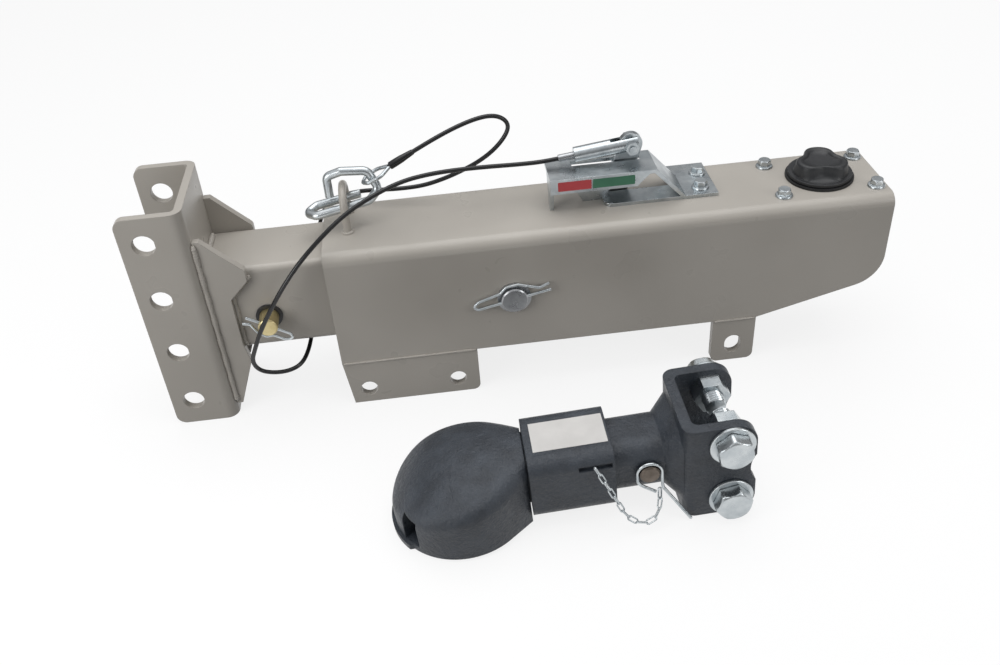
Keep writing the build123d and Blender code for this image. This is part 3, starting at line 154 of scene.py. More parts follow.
def facing_out(vertices, faces):
    """Turns the faces round if the volume that they enclose comes out negative."""
    volume = 0.0
    for size in {len(face) for face in faces}:
        corners = vertices[np.array([face for face in faces if len(face) == size])]
        for second in range(1, size - 1):
            spread = np.cross(corners[:, second], corners[:, second + 1])
            volume += np.einsum("ij,ij->", corners[:, 0], spread)
    return faces if volume > 0 else [face[::-1] for face in faces]


def make_piece(name, parts, body, slot, replaced=()):
    """A mesh object from (vertices, faces) pairs in millimetres, riding on a CAD body."""
    vertices, faces = joined([(points, facing_out(points, shape)) for points, shape in parts])
    mesh = bpy.data.meshes.new(name)
    mesh.from_pydata((vertices * MM).tolist(), [], faces)
    mesh.polygons.foreach_set("use_smooth", np.ones(len(mesh.polygons), bool))
    mesh.set_sharp_from_angle(angle=SHARP)
    mesh.update()
    piece = bpy.data.objects.new(name, mesh)
    scene.collection.objects.link(piece)
    piece.data.materials.append(finishes[slot])
    if body:
        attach(piece, body)
    if replaced:
        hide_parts(*replaced)
    print(name, len(vertices), "vertices", len(faces), "faces")
    return piece


def unit(vectors):
    """Each vector divided by its length."""
    return vectors / np.linalg.norm(vectors, axis=-1, keepdims=True)


def resample(points, step):
    """Points at even steps along a polyline, in its own units, and how far along each is."""
    points = np.asarray(points, float)
    runs = np.linalg.norm(np.diff(points, axis=0), axis=1)
    along = np.concatenate([[0], np.cumsum(runs)])
    count = max(2, int(round(along[-1] / step)) + 1)
    wanted = np.linspace(0, along[-1], count)
    spots = np.stack([np.interp(wanted, along, points[:, axis]) for axis in range(3)], -1)
    return spots, wanted


def path_frames(points):
    """Two unit directions across a path at each point. Each is the one before, made square
    to the new direction, so that the frame doesn't twist."""
    along = unit(np.gradient(points, axis=0))
    guess = np.array([0, 0, 1.0]) if abs(along[0, 2]) < 0.8 else np.array([0, 1.0, 0])
    side = np.empty_like(points)
    for index, direction in enumerate(along):
        guess = guess - direction * (guess @ direction)
        guess = guess / np.linalg.norm(guess)
        side[index] = guess
    return side, np.cross(along, side)


def around(count):
    """Angles of a full turn, without the last, which is the first again."""
    return np.linspace(0, 2 * np.pi, count, endpoint=False)


def swept(points, radius, sides=12):
    """Round tube along a path: each ring is centre + radius (side cos a + up sin a). The
    radius may be one number or one for each point."""
    side, up = path_frames(points)
    angle = around(sides)[None, :, None]
    radius = np.broadcast_to(radius, len(points))[:, None, None]
    ring = side[:, None] * np.cos(angle) + up[:, None] * np.sin(angle)
    return tube_mesh(points[:, None] + radius * ring)


def across_axes(axis):
    """The axis made a unit vector, and two unit directions square to it."""
    axis = unit(np.asarray(axis, float))
    helper = np.array([0, 0, 1.0]) if abs(axis[2]) < 0.8 else np.array([1.0, 0, 0])
    side = unit(np.cross(axis, helper))
    return axis, side, np.cross(axis, side)


def turned(profile, axis_origin, axis, sides=48):
    """Solid of revolution: profile rows are (distance along the axis, radius)."""
    profile = np.asarray(profile, float)
    axis, side, up = across_axes(axis)
    angle = around(sides)[:, None]
    ring = side * np.cos(angle) + up * np.sin(angle)
    rows = axis_origin + profile[:, 0, None, None] * axis + profile[:, 1, None, None] * ring
    return tube_mesh(rows)


# %% [markdown]
# ## Finishes
# Each finish is a small node tree on one shader. Image textures could carry the same marks,
# but they need an unwrapped mesh, and noise in space has no seams. Patterns read Object
# coordinates, which are metres in the shared frame, so noise scales are per metre: 400 gives
# specks 2.5 mm apart. The Bevel node bends the normals near an edge, which rolls it as paint
# and plating do.

# %% Finish helper


class Finish:
    """Builds one material. Each method adds a node and returns its output socket."""

    def __init__(self, name, colour, roughness, metallic=0.0, edge=0.0006):
        self.material = bpy.data.materials.new(name)
        self.material.use_nodes = True
        self.tree = self.material.node_tree
        self.shader = self.tree.nodes["Principled BSDF"]
        self.shader.inputs["Base Color"].default_value = (*colour, 1)
        self.shader.inputs["Roughness"].default_value = roughness
        self.shader.inputs["Metallic"].default_value = metallic
        self.place = self.add("ShaderNodeTexCoord").outputs["Object"]
        self.normal = None
        if edge:
            roll = self.add("ShaderNodeBevel", samples=4)
            roll.inputs["Radius"].default_value = edge
            self.normal = roll.outputs["Normal"]
            self.link(self.normal, self.shader.inputs["Normal"])

    def add(self, kind, **settings):
        node = self.tree.nodes.new(kind)
        for key, value in settings.items():
            setattr(node, key, value)
        return node

    def link(self, source, target):
        self.tree.links.new(source, target)

    def noise(self, scale, detail=3.0, roughness=0.55, stretch=(1, 1, 1)):
        mapping = self.add("ShaderNodeMapping")
        mapping.inputs["Scale"].default_value = stretch
        self.link(self.place, mapping.inputs["Vector"])
        texture = self.add("ShaderNodeTexNoise")
        texture.inputs["Scale"].default_value = scale
        texture.inputs["Detail"].default_value = detail
        texture.inputs["Roughness"].default_value = roughness
        self.link(mapping.outputs["Vector"], texture.inputs["Vector"])
        return texture.outputs["Fac"]

    def ramp(self, source, stops):
        """Maps a pattern to colours, from stops of (position, colour)."""
        node = self.add("ShaderNodeValToRGB")
        spots = node.color_ramp.elements
        while len(spots) < len(stops):
            spots.new(0.5)
        for spot, (position, colour) in zip(spots, stops):
            spot.position = position
            spot.color = (*colour, 1)
        self.link(source, node.inputs["Fac"])
        return node.outputs["Color"]

    def grey(self, source, low, high, start=0.3, end=0.7):
        """Maps start..end of a pattern to the numbers low..high."""
        node = self.add("ShaderNodeMapRange")
        node.inputs["From Min"].default_value = start
        node.inputs["From Max"].default_value = end
        node.inputs["To Min"].default_value = low
        node.inputs["To Max"].default_value = high
        self.link(source, node.inputs["Value"])
        return node.outputs["Result"]

    def bump(self, source, height, distance):
        """Adds relief from a pattern on top of the normal so far."""
        node = self.add("ShaderNodeBump")
        node.inputs["Strength"].default_value = height
        node.inputs["Distance"].default_value = distance
        self.link(source, node.inputs["Height"])
        if self.normal is not None:
            self.link(self.normal, node.inputs["Normal"])
        self.normal = node.outputs["Normal"]
        self.link(self.normal, self.shader.inputs["Normal"])

    def colour(self, source):
        self.link(source, self.shader.inputs["Base Color"])

    def rough(self, source):
        self.link(source, self.shader.inputs["Roughness"])

    def mixed(self, factor, source, colour):
        """Mixes a plain colour into a pattern's colour. Sockets 0, 6 and 7 of the Mix node
        are the factor and the two colours, and output 2 is the colour."""
        node = self.add("ShaderNodeMix", data_type="RGBA")
        self.link(factor, node.inputs[0])
        self.link(source, node.inputs[6])
        node.inputs[7].default_value = (*colour, 1)
        return node.outputs[2]


def tint(red, green, blue):
    """Linear colour from the 0 to 255 numbers that a screen shows."""
    value = np.array([red, green, blue]) / 255
    curved = ((value + 0.055) / 1.055) ** 2.4
    return tuple(float(v) for v in np.where(value <= 0.04045, value / 12.92, curved))


# %% [markdown]
# ### Beige enamel
# The steelwork is sprayed with a satin beige-grey enamel. It is even, with a slight orange
# peel, faint cloudy variation, and a few dark scuffs where the pins and tools rubbed it. Each
# of these has its own size, so each is a noise at its own scale. The scuffs could be painted
# on one by one. Here they are the few places where a rough noise is above a high threshold.

# %% Beige enamel


def enamel():
    finish = Finish("beige_enamel", tint(181, 175, 166), 0.38, edge=0.0009)
    shades = [(0.3, tint(168, 163, 155)), (0.7, tint(179, 174, 166))]
    clouds = finish.ramp(finish.noise(9, 2), shades)
    scuffs = finish.grey(finish.noise(48, 6, 0.7, stretch=(1, 1, 2.5)), 0.0, 1.0, 0.685, 0.75)
    finish.colour(finish.mixed(scuffs, clouds, tint(120, 114, 106)))
    finish.rough(finish.grey(finish.noise(30, 2), 0.26, 0.36))
    finish.bump(finish.noise(650, 2), 0.10, 0.0004)
    return finish.material


# %% [markdown]
# ### Zinc plate
# Bright zinc is a bluish metal with a fine brushed or tumbled grain and cloudy roughness.
# Yellow zinc is the same plate under a golden chromate film. A metal shows mostly what it
# mirrors, so with one even roughness it would look like foil. Clouds in the roughness break
# the reflections up. The other bare metals differ only in colour and grain.

# %% Zinc and other bare metals


def plated(name, colour, darker, roughness, grain=900, stretch=(1, 1, 1)):
    finish = Finish(name, colour, roughness, 1.0, edge=0.0005)
    patches = finish.noise(70, 5, 0.6)
    finish.colour(finish.ramp(patches, [(0.32, darker), (0.62, colour)]))
    finish.rough(finish.grey(finish.noise(45, 4), roughness * 0.75, roughness * 1.3))
    finish.bump(finish.noise(grain, 3, stretch=stretch), 0.09, 0.0003)
    return finish.material


# %% [markdown]
# ### Cast iron paint
# The coupler head is a sand casting under dark blue-grey paint: pitted at a few millimetres,
# with a softer swell under it, glossier on the swells than in the pits. Displacement could
# press the pits into the mesh, but that takes millions of faces. They are too shallow to
# change the outline, so two layers of bump show them as well.

# %% Cast iron under dark paint


def cast_paint():
    finish = Finish("slate_cast_paint", tint(52, 57, 64), 0.42, edge=0.0014)
    grain = finish.noise(330, 4, 0.7)
    shades = [(0.3, tint(42, 47, 54)), (0.7, tint(60, 66, 74))]
    finish.colour(finish.ramp(finish.noise(60, 4), shades))
    finish.rough(finish.grey(grain, 0.28, 0.50))
    finish.bump(grain, 0.9, 0.0012)
    finish.bump(finish.noise(130, 3), 0.35, 0.0009)
    return finish.material


# %% [markdown]
# ### Plastics, rubber and the cable's jacket
# The filler cap is satin black plastic with a faint moulding texture. The cable's jacket is
# glossy black. The nylon pads and the rubber are only seen from below or inside. Each could
# have a node tree of its own, but moulded parts differ mostly in colour and gloss, so one
# recipe makes them all.

# %% Plastics and rubber


def moulded(name, colour, roughness, edge=0.0004):
    finish = Finish(name, colour, roughness, edge=edge)
    finish.rough(finish.grey(finish.noise(120, 3), roughness * 0.85, roughness * 1.2))
    lighter = tuple(min(1.0, channel * 1.25) for channel in colour)
    finish.colour(finish.ramp(finish.noise(90, 3), [(0.35, colour), (0.75, lighter)]))
    finish.bump(finish.noise(1200, 2), 0.08, 0.0003)
    return finish.material


finishes = {
    "tan_paint": enamel(),
    "zinc_plate": plated("bright_zinc", tint(203, 208, 210), tint(174, 181, 185), 0.30),
    "machined_steel": plated("turned_steel", tint(176, 178, 180), tint(140, 142, 145), 0.30,
                             stretch=(1, 1, 4)),
    "yellow_zinc": plated("yellow_zinc", tint(218, 204, 160), tint(192, 176, 130), 0.42),
    "brown_steel": plated("brown_steel", tint(119, 110, 102), tint(84, 77, 70), 0.45),
    "black_paint": moulded("black_paint", tint(34, 35, 37), 0.38),
    "dark_cast_paint": cast_paint(),
    "cast_iron": plated("bare_cast_iron", tint(92, 92, 92), tint(62, 62, 62), 0.55, 500),
    "aluminium": plated("aluminium", tint(188, 190, 192), tint(160, 162, 165), 0.32),
    "black_plastic": moulded("black_plastic", tint(38, 39, 41), 0.4),
    "black_rubber": moulded("black_rubber", tint(28, 28, 29), 0.62),
    "nylon": moulded("white_nylon", tint(214, 210, 200), 0.5),
    "cable_jacket": moulded("black_jacket", tint(20, 20, 22), 0.22, edge=0),
}
slot_of = {row["node"]: row["material_slot"] for row in frame["record"]["subparts"]}
for name, node in nodes.items():
    node.data.materials.clear()
    node.data.materials.append(finishes[slot_of[name]])
print(len(nodes), "CAD nodes have", len(finishes), "finishes")

# %% [markdown]
# ## Breakaway cable
# A black jacketed wire rope, 3.6 mm thick, runs from the link's ferrule down the near side of
# the slide, under it, up the far side and round a free loop to the wire eye in the safety
# hook. Its route's points are the control points of a NURBS spline. The spline is read back
# as points and a tube is swept along them. The tube is fixed in the shared frame and rides
# on no body.

# %% Breakaway cable
CABLE_RADIUS = 0.0018
CABLE_ROUTE = [
    (137.4, 11.0, 139.9), (125.5, 11.0, 138.5), (105.5, 9.0, 139.5), (79.5, 5.0, 142.5),
    (54.0, 1.5, 144.5), (31.5, -2.0, 145.0), (11.0, -8.0, 144.5), (-11.0, -17.5, 140.5),
    (-34.5, -29.0, 133.0), (-56.0, -43.0, 121.0), (-74.0, -51.5, 106.5), (-90.0, -56.0, 88.0),
    (-102.0, -57.5, 70.5), (-113.0, -57.0, 52.5), (-121.5, -55.0, 34.0), (-127.5, -51.5, 19.0),
    (-124.0, -49.0, 7.0), (-113.0, -48.5, 2.5), (-100.0, -48.0, 2.5), (-90.0, -42.0, 3.5),
    (-84.5, -28.0, 6.5), (-82.0, -4.0, 9.0), (-81.0, 20.0, 11.0), (-80.5, 38.0, 12.5),
    (-79.5, 50.5, 21.5), (-76.0, 56.0, 42.0), (-71.0, 57.5, 63.0), (-64.5, 56.0, 83.5),
    (-58.5, 53.0, 95.5), (-49.0, 47.0, 106.0), (-37.0, 41.0, 112.5), (-23.0, 37.0, 116.0),
    (-7.5, 34.0, 116.5), (9.5, 31.5, 117.0), (27.5, 29.0, 119.0), (44.5, 27.5, 124.0),
    (59.0, 27.0, 129.5), (73.0, 27.5, 135.5), (86.0, 28.5, 143.5), (96.0, 30.0, 153.0),
    (101.0, 31.0, 162.0), (98.5, 31.0, 169.0), (90.5, 30.0, 174.0), (78.5, 28.5, 174.5),
    (61.0, 24.0, 171.5), (39.0, 17.5, 165.0), (22.5, 14.0, 158.0),
]


def spline_points(route, resolution=6):
    """Points along the NURBS spline that has the route as its control points, in metres."""
    data = bpy.data.curves.new("route", "CURVE")
    data.dimensions = "3D"
    data.resolution_u = resolution
    spline = data.splines.new("NURBS")
    spline.points.add(len(route) - 1)
    for point, spot in zip(spline.points, route):
        point.co = (*(v * MM for v in spot), 1)
    spline.order_u = 3
    spline.use_endpoint_u = True
    holder = bpy.data.objects.new("route", data)
    line = bpy.data.meshes.new_from_object(holder)
    spots = np.empty(len(line.vertices) * 3)
    line.vertices.foreach_get("co", spots)
    bpy.data.objects.remove(holder)
    return spots.reshape(-1, 3)


cable_line = spline_points(CABLE_ROUTE)
cable_length = np.linalg.norm(np.diff(cable_line, axis=0), axis=1).sum()
print("cable length", round(float(cable_length), 4), "along", len(cable_line), "points")
jacket = swept(cable_line / MM, CABLE_RADIUS / MM, 16)
cable = make_piece("cable_jacket", [jacket], None, "cable_jacket", ["breakaway_cable"])
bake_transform(cable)

# %% [markdown]
# ## Crimp sleeve
# The cable's end goes into a black sleeve that swells from the cable to the wire eye. A cone
# and a cylinder could be joined for it. A profile turned about the cable's last direction
# gives the soft swell and the rounded end in one closed surface.

# %% Crimp sleeve
tip, before = np.array(CABLE_ROUTE[-1]), np.array(CABLE_ROUTE[-2])
along_end = unit(tip - before)
CRIMP = [(0, 1.9), (0.6, 2.2), (4, 2.5), (8, 2.8), (11, 3.1), (15, 3.2), (20.5, 3.2),
         (21.6, 3.0), (22, 2.4)]
crimp = make_piece("crimp_sleeve", [turned(CRIMP, tip, along_end, 32)], "case",
                   slot_of["cable_sleeve"], ["cable_sleeve"])

# %% [markdown]
# ## Weld beads
# The tongue plates, the gussets and the channel are welded on. A curve with a round bevel
# would lay a smooth wire along each seam. A real bead ripples once for each dab of the torch,
# so it is a tube whose radius is worked out ring by ring, on top of a slow swell, and the
# enamel runs over it.

# %% Weld beads
RIPPLE, BEAD_STEP = 2.4, 0.6


def bead(points, radius):
    """Swept tube with radius r (1 + 0.1 sin(2 pi s / ripple) + 0.08 sin(0.31 s + 1)), s being
    the distance along the seam, drawn in towards both ends."""
    line, distance = resample(points, BEAD_STEP)
    swell = 1 + 0.10 * np.sin(2 * np.pi * distance / RIPPLE)
    swell = swell + 0.08 * np.sin(0.31 * distance + 1)
    ends = np.clip(np.minimum(distance, distance[-1] - distance) / radius, 0.25, 1)
    return swept(line, radius * swell * np.sqrt(ends), 10)


def ring_points(centre, radius, count=40):
    """Level circle of points whose last is the first again."""
    angle = np.linspace(0, 2 * np.pi, count)
    return centre + radius * np.stack([np.cos(angle), np.sin(angle), 0 * angle], -1)


CASE_SIDE, UNDER_EDGE = 44.7, -0.3
FRONT_PLATE, REAR_PLATE = (-56, 55.5), (259, 294)
ARCH_X, ARCH_FEET, ARCH_WIRE, CASE_SKIN = -36.7, (-8.0, 25.0), 3.9, 105.2
case_seams = []
for side in (-CASE_SIDE, CASE_SIDE):
    for start, end in (FRONT_PLATE, REAR_PLATE):
        case_seams.append(bead([(start, side, UNDER_EDGE), (end, side, UNDER_EDGE)], 1.0))
for foot in ARCH_FEET:
    case_seams.append(bead(ring_points(np.array([ARCH_X, foot, CASE_SKIN]), ARCH_WIRE), 1.3))
make_piece("case_welds", case_seams, "case", "tan_paint")

CHANNEL_BACK, PLATE_FACE = -151.2, -150.6
GUSSET_SIDE, SLIDE_SIDE, SLIDE_ENDS = 38.9, 32.6, (96.4, 18.4)
GUSSET_EDGE = [(-117.2, 89.5), (-117.6, 87.4), (-133.1, 71.4), (-133.1, 27.2), (-131.6, 22)]
slide_seams = []
for side in (-1, 1):
    upright = [(CHANNEL_BACK, side * GUSSET_SIDE, z) for z in (-30, 125)]
    slide_seams.append(bead(upright, 2.1))
    slide_seams.append(bead([(x, side * SLIDE_SIDE, z) for x, z in GUSSET_EDGE], 2.0))
for height in SLIDE_ENDS:
    slide_seams.append(bead([(PLATE_FACE, y, height) for y in (-27, 27)], 2.4))
make_piece("slide_welds", slide_seams, "inner_slide", "tan_paint")

# %% [markdown]
# ## Hexagon bolts
# A bolt head is a hexagon whose corners are turned off by a cone. A Bevel modifier would only
# cut its edges straight, and the cone leaves a curved line on each flat. In polar form the
# hexagon is r = a / cos(angle from the middle of its side), the cone is a radius that falls
# with height, and the head is the smaller of the two.

# %% Bolt heads and threads
TOP_FACE = 0.475
CONE_STEPS = np.array([0.0, 0.33, 0.66, 1.0])


def polar_solid(origin, axis, heights, radii, angle):
    """Closed solid from radii[row, column] at heights along an axis."""
    axis, side, up = across_axes(axis)
    ring = side * np.cos(angle)[:, None] + up * np.sin(angle)[:, None]
    centres = np.asarray(origin, float) + heights[:, None, None] * axis
    return tube_mesh(centres + radii[:, :, None] * ring[None])


def hex_head(origin, axis, across, height, turn=0.0, flange=0.0, sides=72):
    """Hexagon with turned corners, on a flange disc if it has one. Its size is given across
    its flats, and its top face is a circle of TOP_FACE times that as its radius."""
    angle = around(sides)
    flat = across / 2 / np.cos((angle + turn) % (np.pi / 3) - np.pi / 6)
    corner, chamfer = across / np.sqrt(3), 0.14 * height + 0.02 * across
    levels = height - chamfer * CONE_STEPS[::-1]
    cones = corner + (across * TOP_FACE - corner) * CONE_STEPS
    heights, radii = [], []
    if flange:
        disc = np.full(sides, flange)
        heights += [0, 0.9, 1.6, 1.9]
        radii += [disc, disc, disc - 0.5, flat]
    else:
        heights += [0.0, 0.5]
        radii += [np.full(sides, across * 0.48), flat]
    heights += levels.tolist() + [height - 0.02]
    radii += [np.minimum(flat, cone) for cone in cones] + [np.full(sides, across * 0.3)]
    return polar_solid(origin, axis, np.array(heights), np.array(radii), angle)


def threaded_rod(origin, axis, radius, start, end, pitch, columns=28):
    """Rod whose radius follows a helix: r - depth * |triangle wave of (z / pitch - angle)|."""
    angle, depth = around(columns), 0.55 * pitch
    heights = np.linspace(start, end, int((end - start) / pitch * 8) + 2)
    phase = (heights[:, None] / pitch - angle[None] / (2 * np.pi)) % 1
    radii = radius - depth * (1 - np.abs(2 * phase - 1))
    radii[[0, -1]] = radius - depth
    return polar_solid(origin, axis, heights, radii, angle)


# %% Small flanged bolts on the deck
UPRIGHT = (0, 0, 1)
DECK, BRACKET_PLATE = 104.6, 3.0
SMALL_HEX, SMALL_HEAD, SMALL_FLANGE = 9.5, 6.5, 7.1
COVER_BOLTS = [(314.4, -25.4, 0.2), (314.4, 25.4, 0.9), (390.6, -25.4, 0.5), (390.6, 25.4, 0.1)]
PLATE_BOLTS = [(255.5, 21.5, 0.3), (252.0, -2.5, 0.7)]


def flanged_bolts(rows, seat, radius, depth):
    """Heads at the rows' spots, each turned by its row's angle, then their shanks, which
    taper over their last millimetre."""
    heads = [hex_head((x, y, seat), UPRIGHT, SMALL_HEX, SMALL_HEAD, turn, SMALL_FLANGE)
             for x, y, turn in rows]
    shank = [(0, radius), (1 - depth, radius), (-depth, radius - 0.7)]
    return heads + [turned(shank, np.array([x, y, seat]), UPRIGHT, 20) for x, y, _ in rows]


make_piece("cover_bolts", flanged_bolts(COVER_BOLTS, DECK, 3.1, 20), "case",
           slot_of["cylinder_bolts"], ["cylinder_bolts"])
make_piece("plate_bolts", flanged_bolts(PLATE_BOLTS, DECK + BRACKET_PLATE, 2.9, 14), "case",
           slot_of["bracket_bolts"], ["bracket_bolts"])

# %% [markdown]
# ## Return spring
# The spring in the brake cylinder is a wire wound in a helix. A Screw modifier could wind it,
# and the tube helper above needs only the helix as its path. The piston comes 38 mm towards
# it with the slide, so it has to shorten. The coil here is made at one length, from just
# behind the piston's cup to the bore's end, and it is not squashed.

# %% Return spring
SPRING_AXIS_Z = 49.0
BORE_END, CUP_REAR, SLIDE_TRAVEL = 374.0, 312.0, 38.0
COIL_RADIUS, COIL_WIRE, COIL_TURNS = 9.5, 1.2, 5


def helix(start, end, radius, turns):
    """Centre line x = start + (end - start) t, y = r cos(2 pi n t), z = r sin(2 pi n t) above
    the bore's axis."""
    share = np.linspace(0, 1, 36 * turns)
    angle = 2 * np.pi * turns * share
    lift = SPRING_AXIS_Z + radius * np.sin(angle)
    return np.stack([start + (end - start) * share, radius * np.cos(angle), lift], -1)


coil_line = helix(CUP_REAR + 1.8, BORE_END - 1.7, COIL_RADIUS, COIL_TURNS)
coil = make_piece("return_coil", [swept(coil_line, COIL_WIRE, 10)], "case",
                  slot_of["return_spring"], ["return_spring"])
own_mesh(coil)

# %% [markdown]
# ## The coupler head's own frame
# The head lies tilted by just under three degrees, because its housing's rim and its clevis
# both rest on the floor. A parent empty could tilt its pieces. A finished piece stays at the
# origin with its place in its mesh, though, so their points are worked out in the head's own
# frame and turned into the shared one.

# %% Head frame, clevis bolts and washers
HEAD_TILT = np.radians(2.848862)
HEAD_ORIGIN = np.array([-20.0, -182.0, -53.687])
HEAD_COS, HEAD_SIN = np.cos(HEAD_TILT), np.sin(HEAD_TILT)
HEAD_AXES = np.array([[HEAD_COS, 0, HEAD_SIN], [0, 1, 0], [-HEAD_SIN, 0, HEAD_COS]])


def in_head(part):
    """Turns a (vertices, faces) pair from the head's frame into the shared one."""
    vertices, faces = part
    return HEAD_ORIGIN + vertices @ HEAD_AXES, faces


CLEVIS_BOLT_U, CLEVIS_BOLT_V = 245.0, (16.0, 66.8)
CLEVIS_SIDE, WASHER, HEX, HEX_HEIGHT = 35.5, 2.6, 23.8125, 10
SHANK, SHANK_LENGTH, THREAD_END, THREAD_PITCH = 7.9, 9, -34, 2.3
WASHER_ROWS = [(-WASHER, 8.5), (-WASHER, 15.9), (-2.1, 16.4), (-0.5, 16.4), (0, 15.9), (0, 8.5)]
bolts, washers = [], []
for height in CLEVIS_BOLT_V:
    for side in (-1, 1):
        outward = (0, side, 0)
        seat = np.array([CLEVIS_BOLT_U, side * (CLEVIS_SIDE + WASHER), height])
        own_turn = 0.35 * side + height / 90
        bolts += [
            hex_head(seat, outward, HEX, HEX_HEIGHT, own_turn),
            threaded_rod(seat, outward, SHANK, THREAD_END, 1 - SHANK_LENGTH, THREAD_PITCH),
            turned([(-SHANK_LENGTH, SHANK), (0.2, SHANK)], seat, outward, 28),
        ]
        washers.append(turned(WASHER_ROWS, seat, outward, 48))
make_piece("clevis_bolt_set", [in_head(part) for part in bolts], "case",
           slot_of["clevis_bolts"], ["clevis_bolts"])
make_piece("clevis_washer_set", [in_head(part) for part in washers], "case",
           slot_of["clevis_washers"], ["clevis_washers"])

# %% [markdown]
# ## Retaining chain
# A thin chain keeps the safety pin with the head. Each link is a wire bent into a stadium, two
# half circles joined by straights, and each is turned a quarter from the one before. An Array
# and a Curve modifier could lay them out, but they would bend the stiff links too. Here each
# link is placed whole at its own point of the route.

# %% Retaining chain
CHAIN_ROUTE = [
    (150, -32.4, 58), (160, -37, 36), (168, -41, 15), (182, -44, 8.5), (193, -39, 15),
    (194, -32, 26),
]
CHAIN_PITCH, LEAN = 7.2, (0.2, 1.0, 0.1)


def stadium(length, width, count=28):
    """Closed outline of a stadium: a circle whose two halves are moved apart."""
    angle = around(count)
    half = (length - width) / 2
    lengthways = width / 2 * np.cos(angle) + half * np.sign(np.cos(angle))
    return np.stack([lengthways, width / 2 * np.sin(angle)], -1)


def chain_link(centre, along, across, length=9.4, width=4.4, wire=0.62, sides=8):
    """Ring of wire around a stadium: each point moves out in the plane and up across it."""
    outline = stadium(length - 2 * wire, width - 2 * wire)
    third = np.cross(along, across)
    run = unit(np.roll(outline, -1, 0) - np.roll(outline, 1, 0))
    normal = run @ np.array([[0, -1], [1, 0]])
    angle = around(sides)
    flat = outline[:, None] + wire * np.cos(angle)[None, :, None] * normal[:, None]
    lift = np.broadcast_to(wire * np.sin(angle), flat.shape[:2])
    points = centre + flat[..., :1] * along + flat[..., 1:] * across + lift[..., None] * third
    rows, columns = points.shape[:2]
    faces = grid_faces(rows + 1, columns) % (rows * columns)
    return points.reshape(-1, 3), faces.tolist()


chain_line, _ = resample(spline_points(CHAIN_ROUTE, 12) / MM, CHAIN_PITCH)
chain_way = unit(np.gradient(chain_line, axis=0))
links = []
for index, (spot, way) in enumerate(zip(chain_line, chain_way)):
    sideways = unit(np.cross(way, LEAN))
    quarter = np.radians(45 + 90 * (index % 2))
    turned_side = np.cos(quarter) * sideways + np.sin(quarter) * np.cross(way, sideways)
    links.append(in_head(chain_link(spot, way, turned_side)))
make_piece("chain_links", links, "case", slot_of["retainer_chain"], ["retainer_chain"])

# %% [markdown]
# ## Filler cap
# The cap is moulded with a round rim and a three-lobed grip. Booleans could cut the grip, but
# they leave hard seams where the moulding is soft. One surface makes it all: each row has a
# height, a radius and a share of a lobed outline, 0.955 + 0.15 cos 3a - 0.03 cos 6a.

# %% Filler cap
CAP_SPOT, FIRST_LOBE = np.array([352.5, 0, 0]), np.radians(80)
CAP_ROWS = np.array([
    (88.3, 14.0, 0), (88.3, 17.5, 0), (106.8, 17.6, 0), (106.9, 25.2, 0), (107.4, 25.9, 0),
    (109.3, 26.0, 0), (109.8, 25.6, 0), (109.9, 24.2, 0), (110.1, 22.6, 0.1),
    (111.4, 21.6, 0.6), (113.5, 20.9, 0.95), (117.5, 20.2, 1), (119.6, 19.8, 1),
    (120.6, 18.9, 1), (120.9, 17.4, 1), (120.7, 15.8, 1), (119.8, 14.6, 1),
    (118.9, 13.4, 0.9), (118.7, 8.0, 0.4), (118.7, 2.0, 0),
])
cap_heights, row_radii, lobed = CAP_ROWS.T[:, :, None]
cap_angle = around(120)
lobe_angle = cap_angle - FIRST_LOBE
lobes = 0.955 + 0.15 * np.cos(3 * lobe_angle) - 0.03 * np.cos(6 * lobe_angle)
cap_radii = row_radii * (1 + lobed * (lobes - 1))
cap_points = np.stack([cap_radii * np.cos(cap_angle), cap_radii * np.sin(cap_angle),
                       np.broadcast_to(cap_heights, cap_radii.shape)], -1)
make_piece("lobed_cap", [tube_mesh(CAP_SPOT + cap_points)], "fill_cap",
           slot_of["filler_cap"], ["filler_cap"])

# %% [markdown]
# ## Stickers
# The bracket's near lip carries a red and a green band, and the latch sleeve a pale label.
# They are left plain. A mask in the metal's material could colour these places, but it would
# have no edge to catch the light. So a band is a thin plate with rounded corners, and the
# label is a thin skin on the sleeve's flat top.

# %% Sticker finishes


def sticker(name, colour):
    finish = Finish(name, colour, 0.45, edge=0)
    faded = tuple(0.9 * channel for channel in colour)
    finish.colour(finish.ramp(finish.noise(60, 3), [(0.3, faded), (0.7, colour)]))
    finish.rough(finish.grey(finish.noise(200, 2), 0.38, 0.55))
    return finish.material


def rounded_outline(half_u, half_v, corner, count=8):
    """Corner arcs of a rounded rectangle, one after another."""
    arcs = []
    for quarter, signs in enumerate(((1, 1), (-1, 1), (-1, -1), (1, -1))):
        angle = np.linspace(0, np.pi / 2, count) + quarter * np.pi / 2
        centre = np.array(signs) * (half_u - corner, half_v - corner)
        arcs.append(centre + corner * np.stack([np.cos(angle), np.sin(angle)], -1))
    return np.vstack(arcs)


def flat_sticker(centre, half_u, half_v, thickness=0.15, corner=0.8):
    """Upright plate along x, whose outer face looks towards -y."""
    outline = rounded_outline(half_u, half_v, corner)
    flat = np.array(centre) + np.insert(outline, 1, 0, axis=1)
    return tube_mesh(np.stack([flat, flat + (0, -thickness, 0)]))


def add_sticker(name, parts, body, material):
    """A piece with a finish of its own in place of its slot's."""
    piece = make_piece(name, parts, body, "zinc_plate")
    piece.data.materials.clear()
    piece.data.materials.append(material)
    return piece


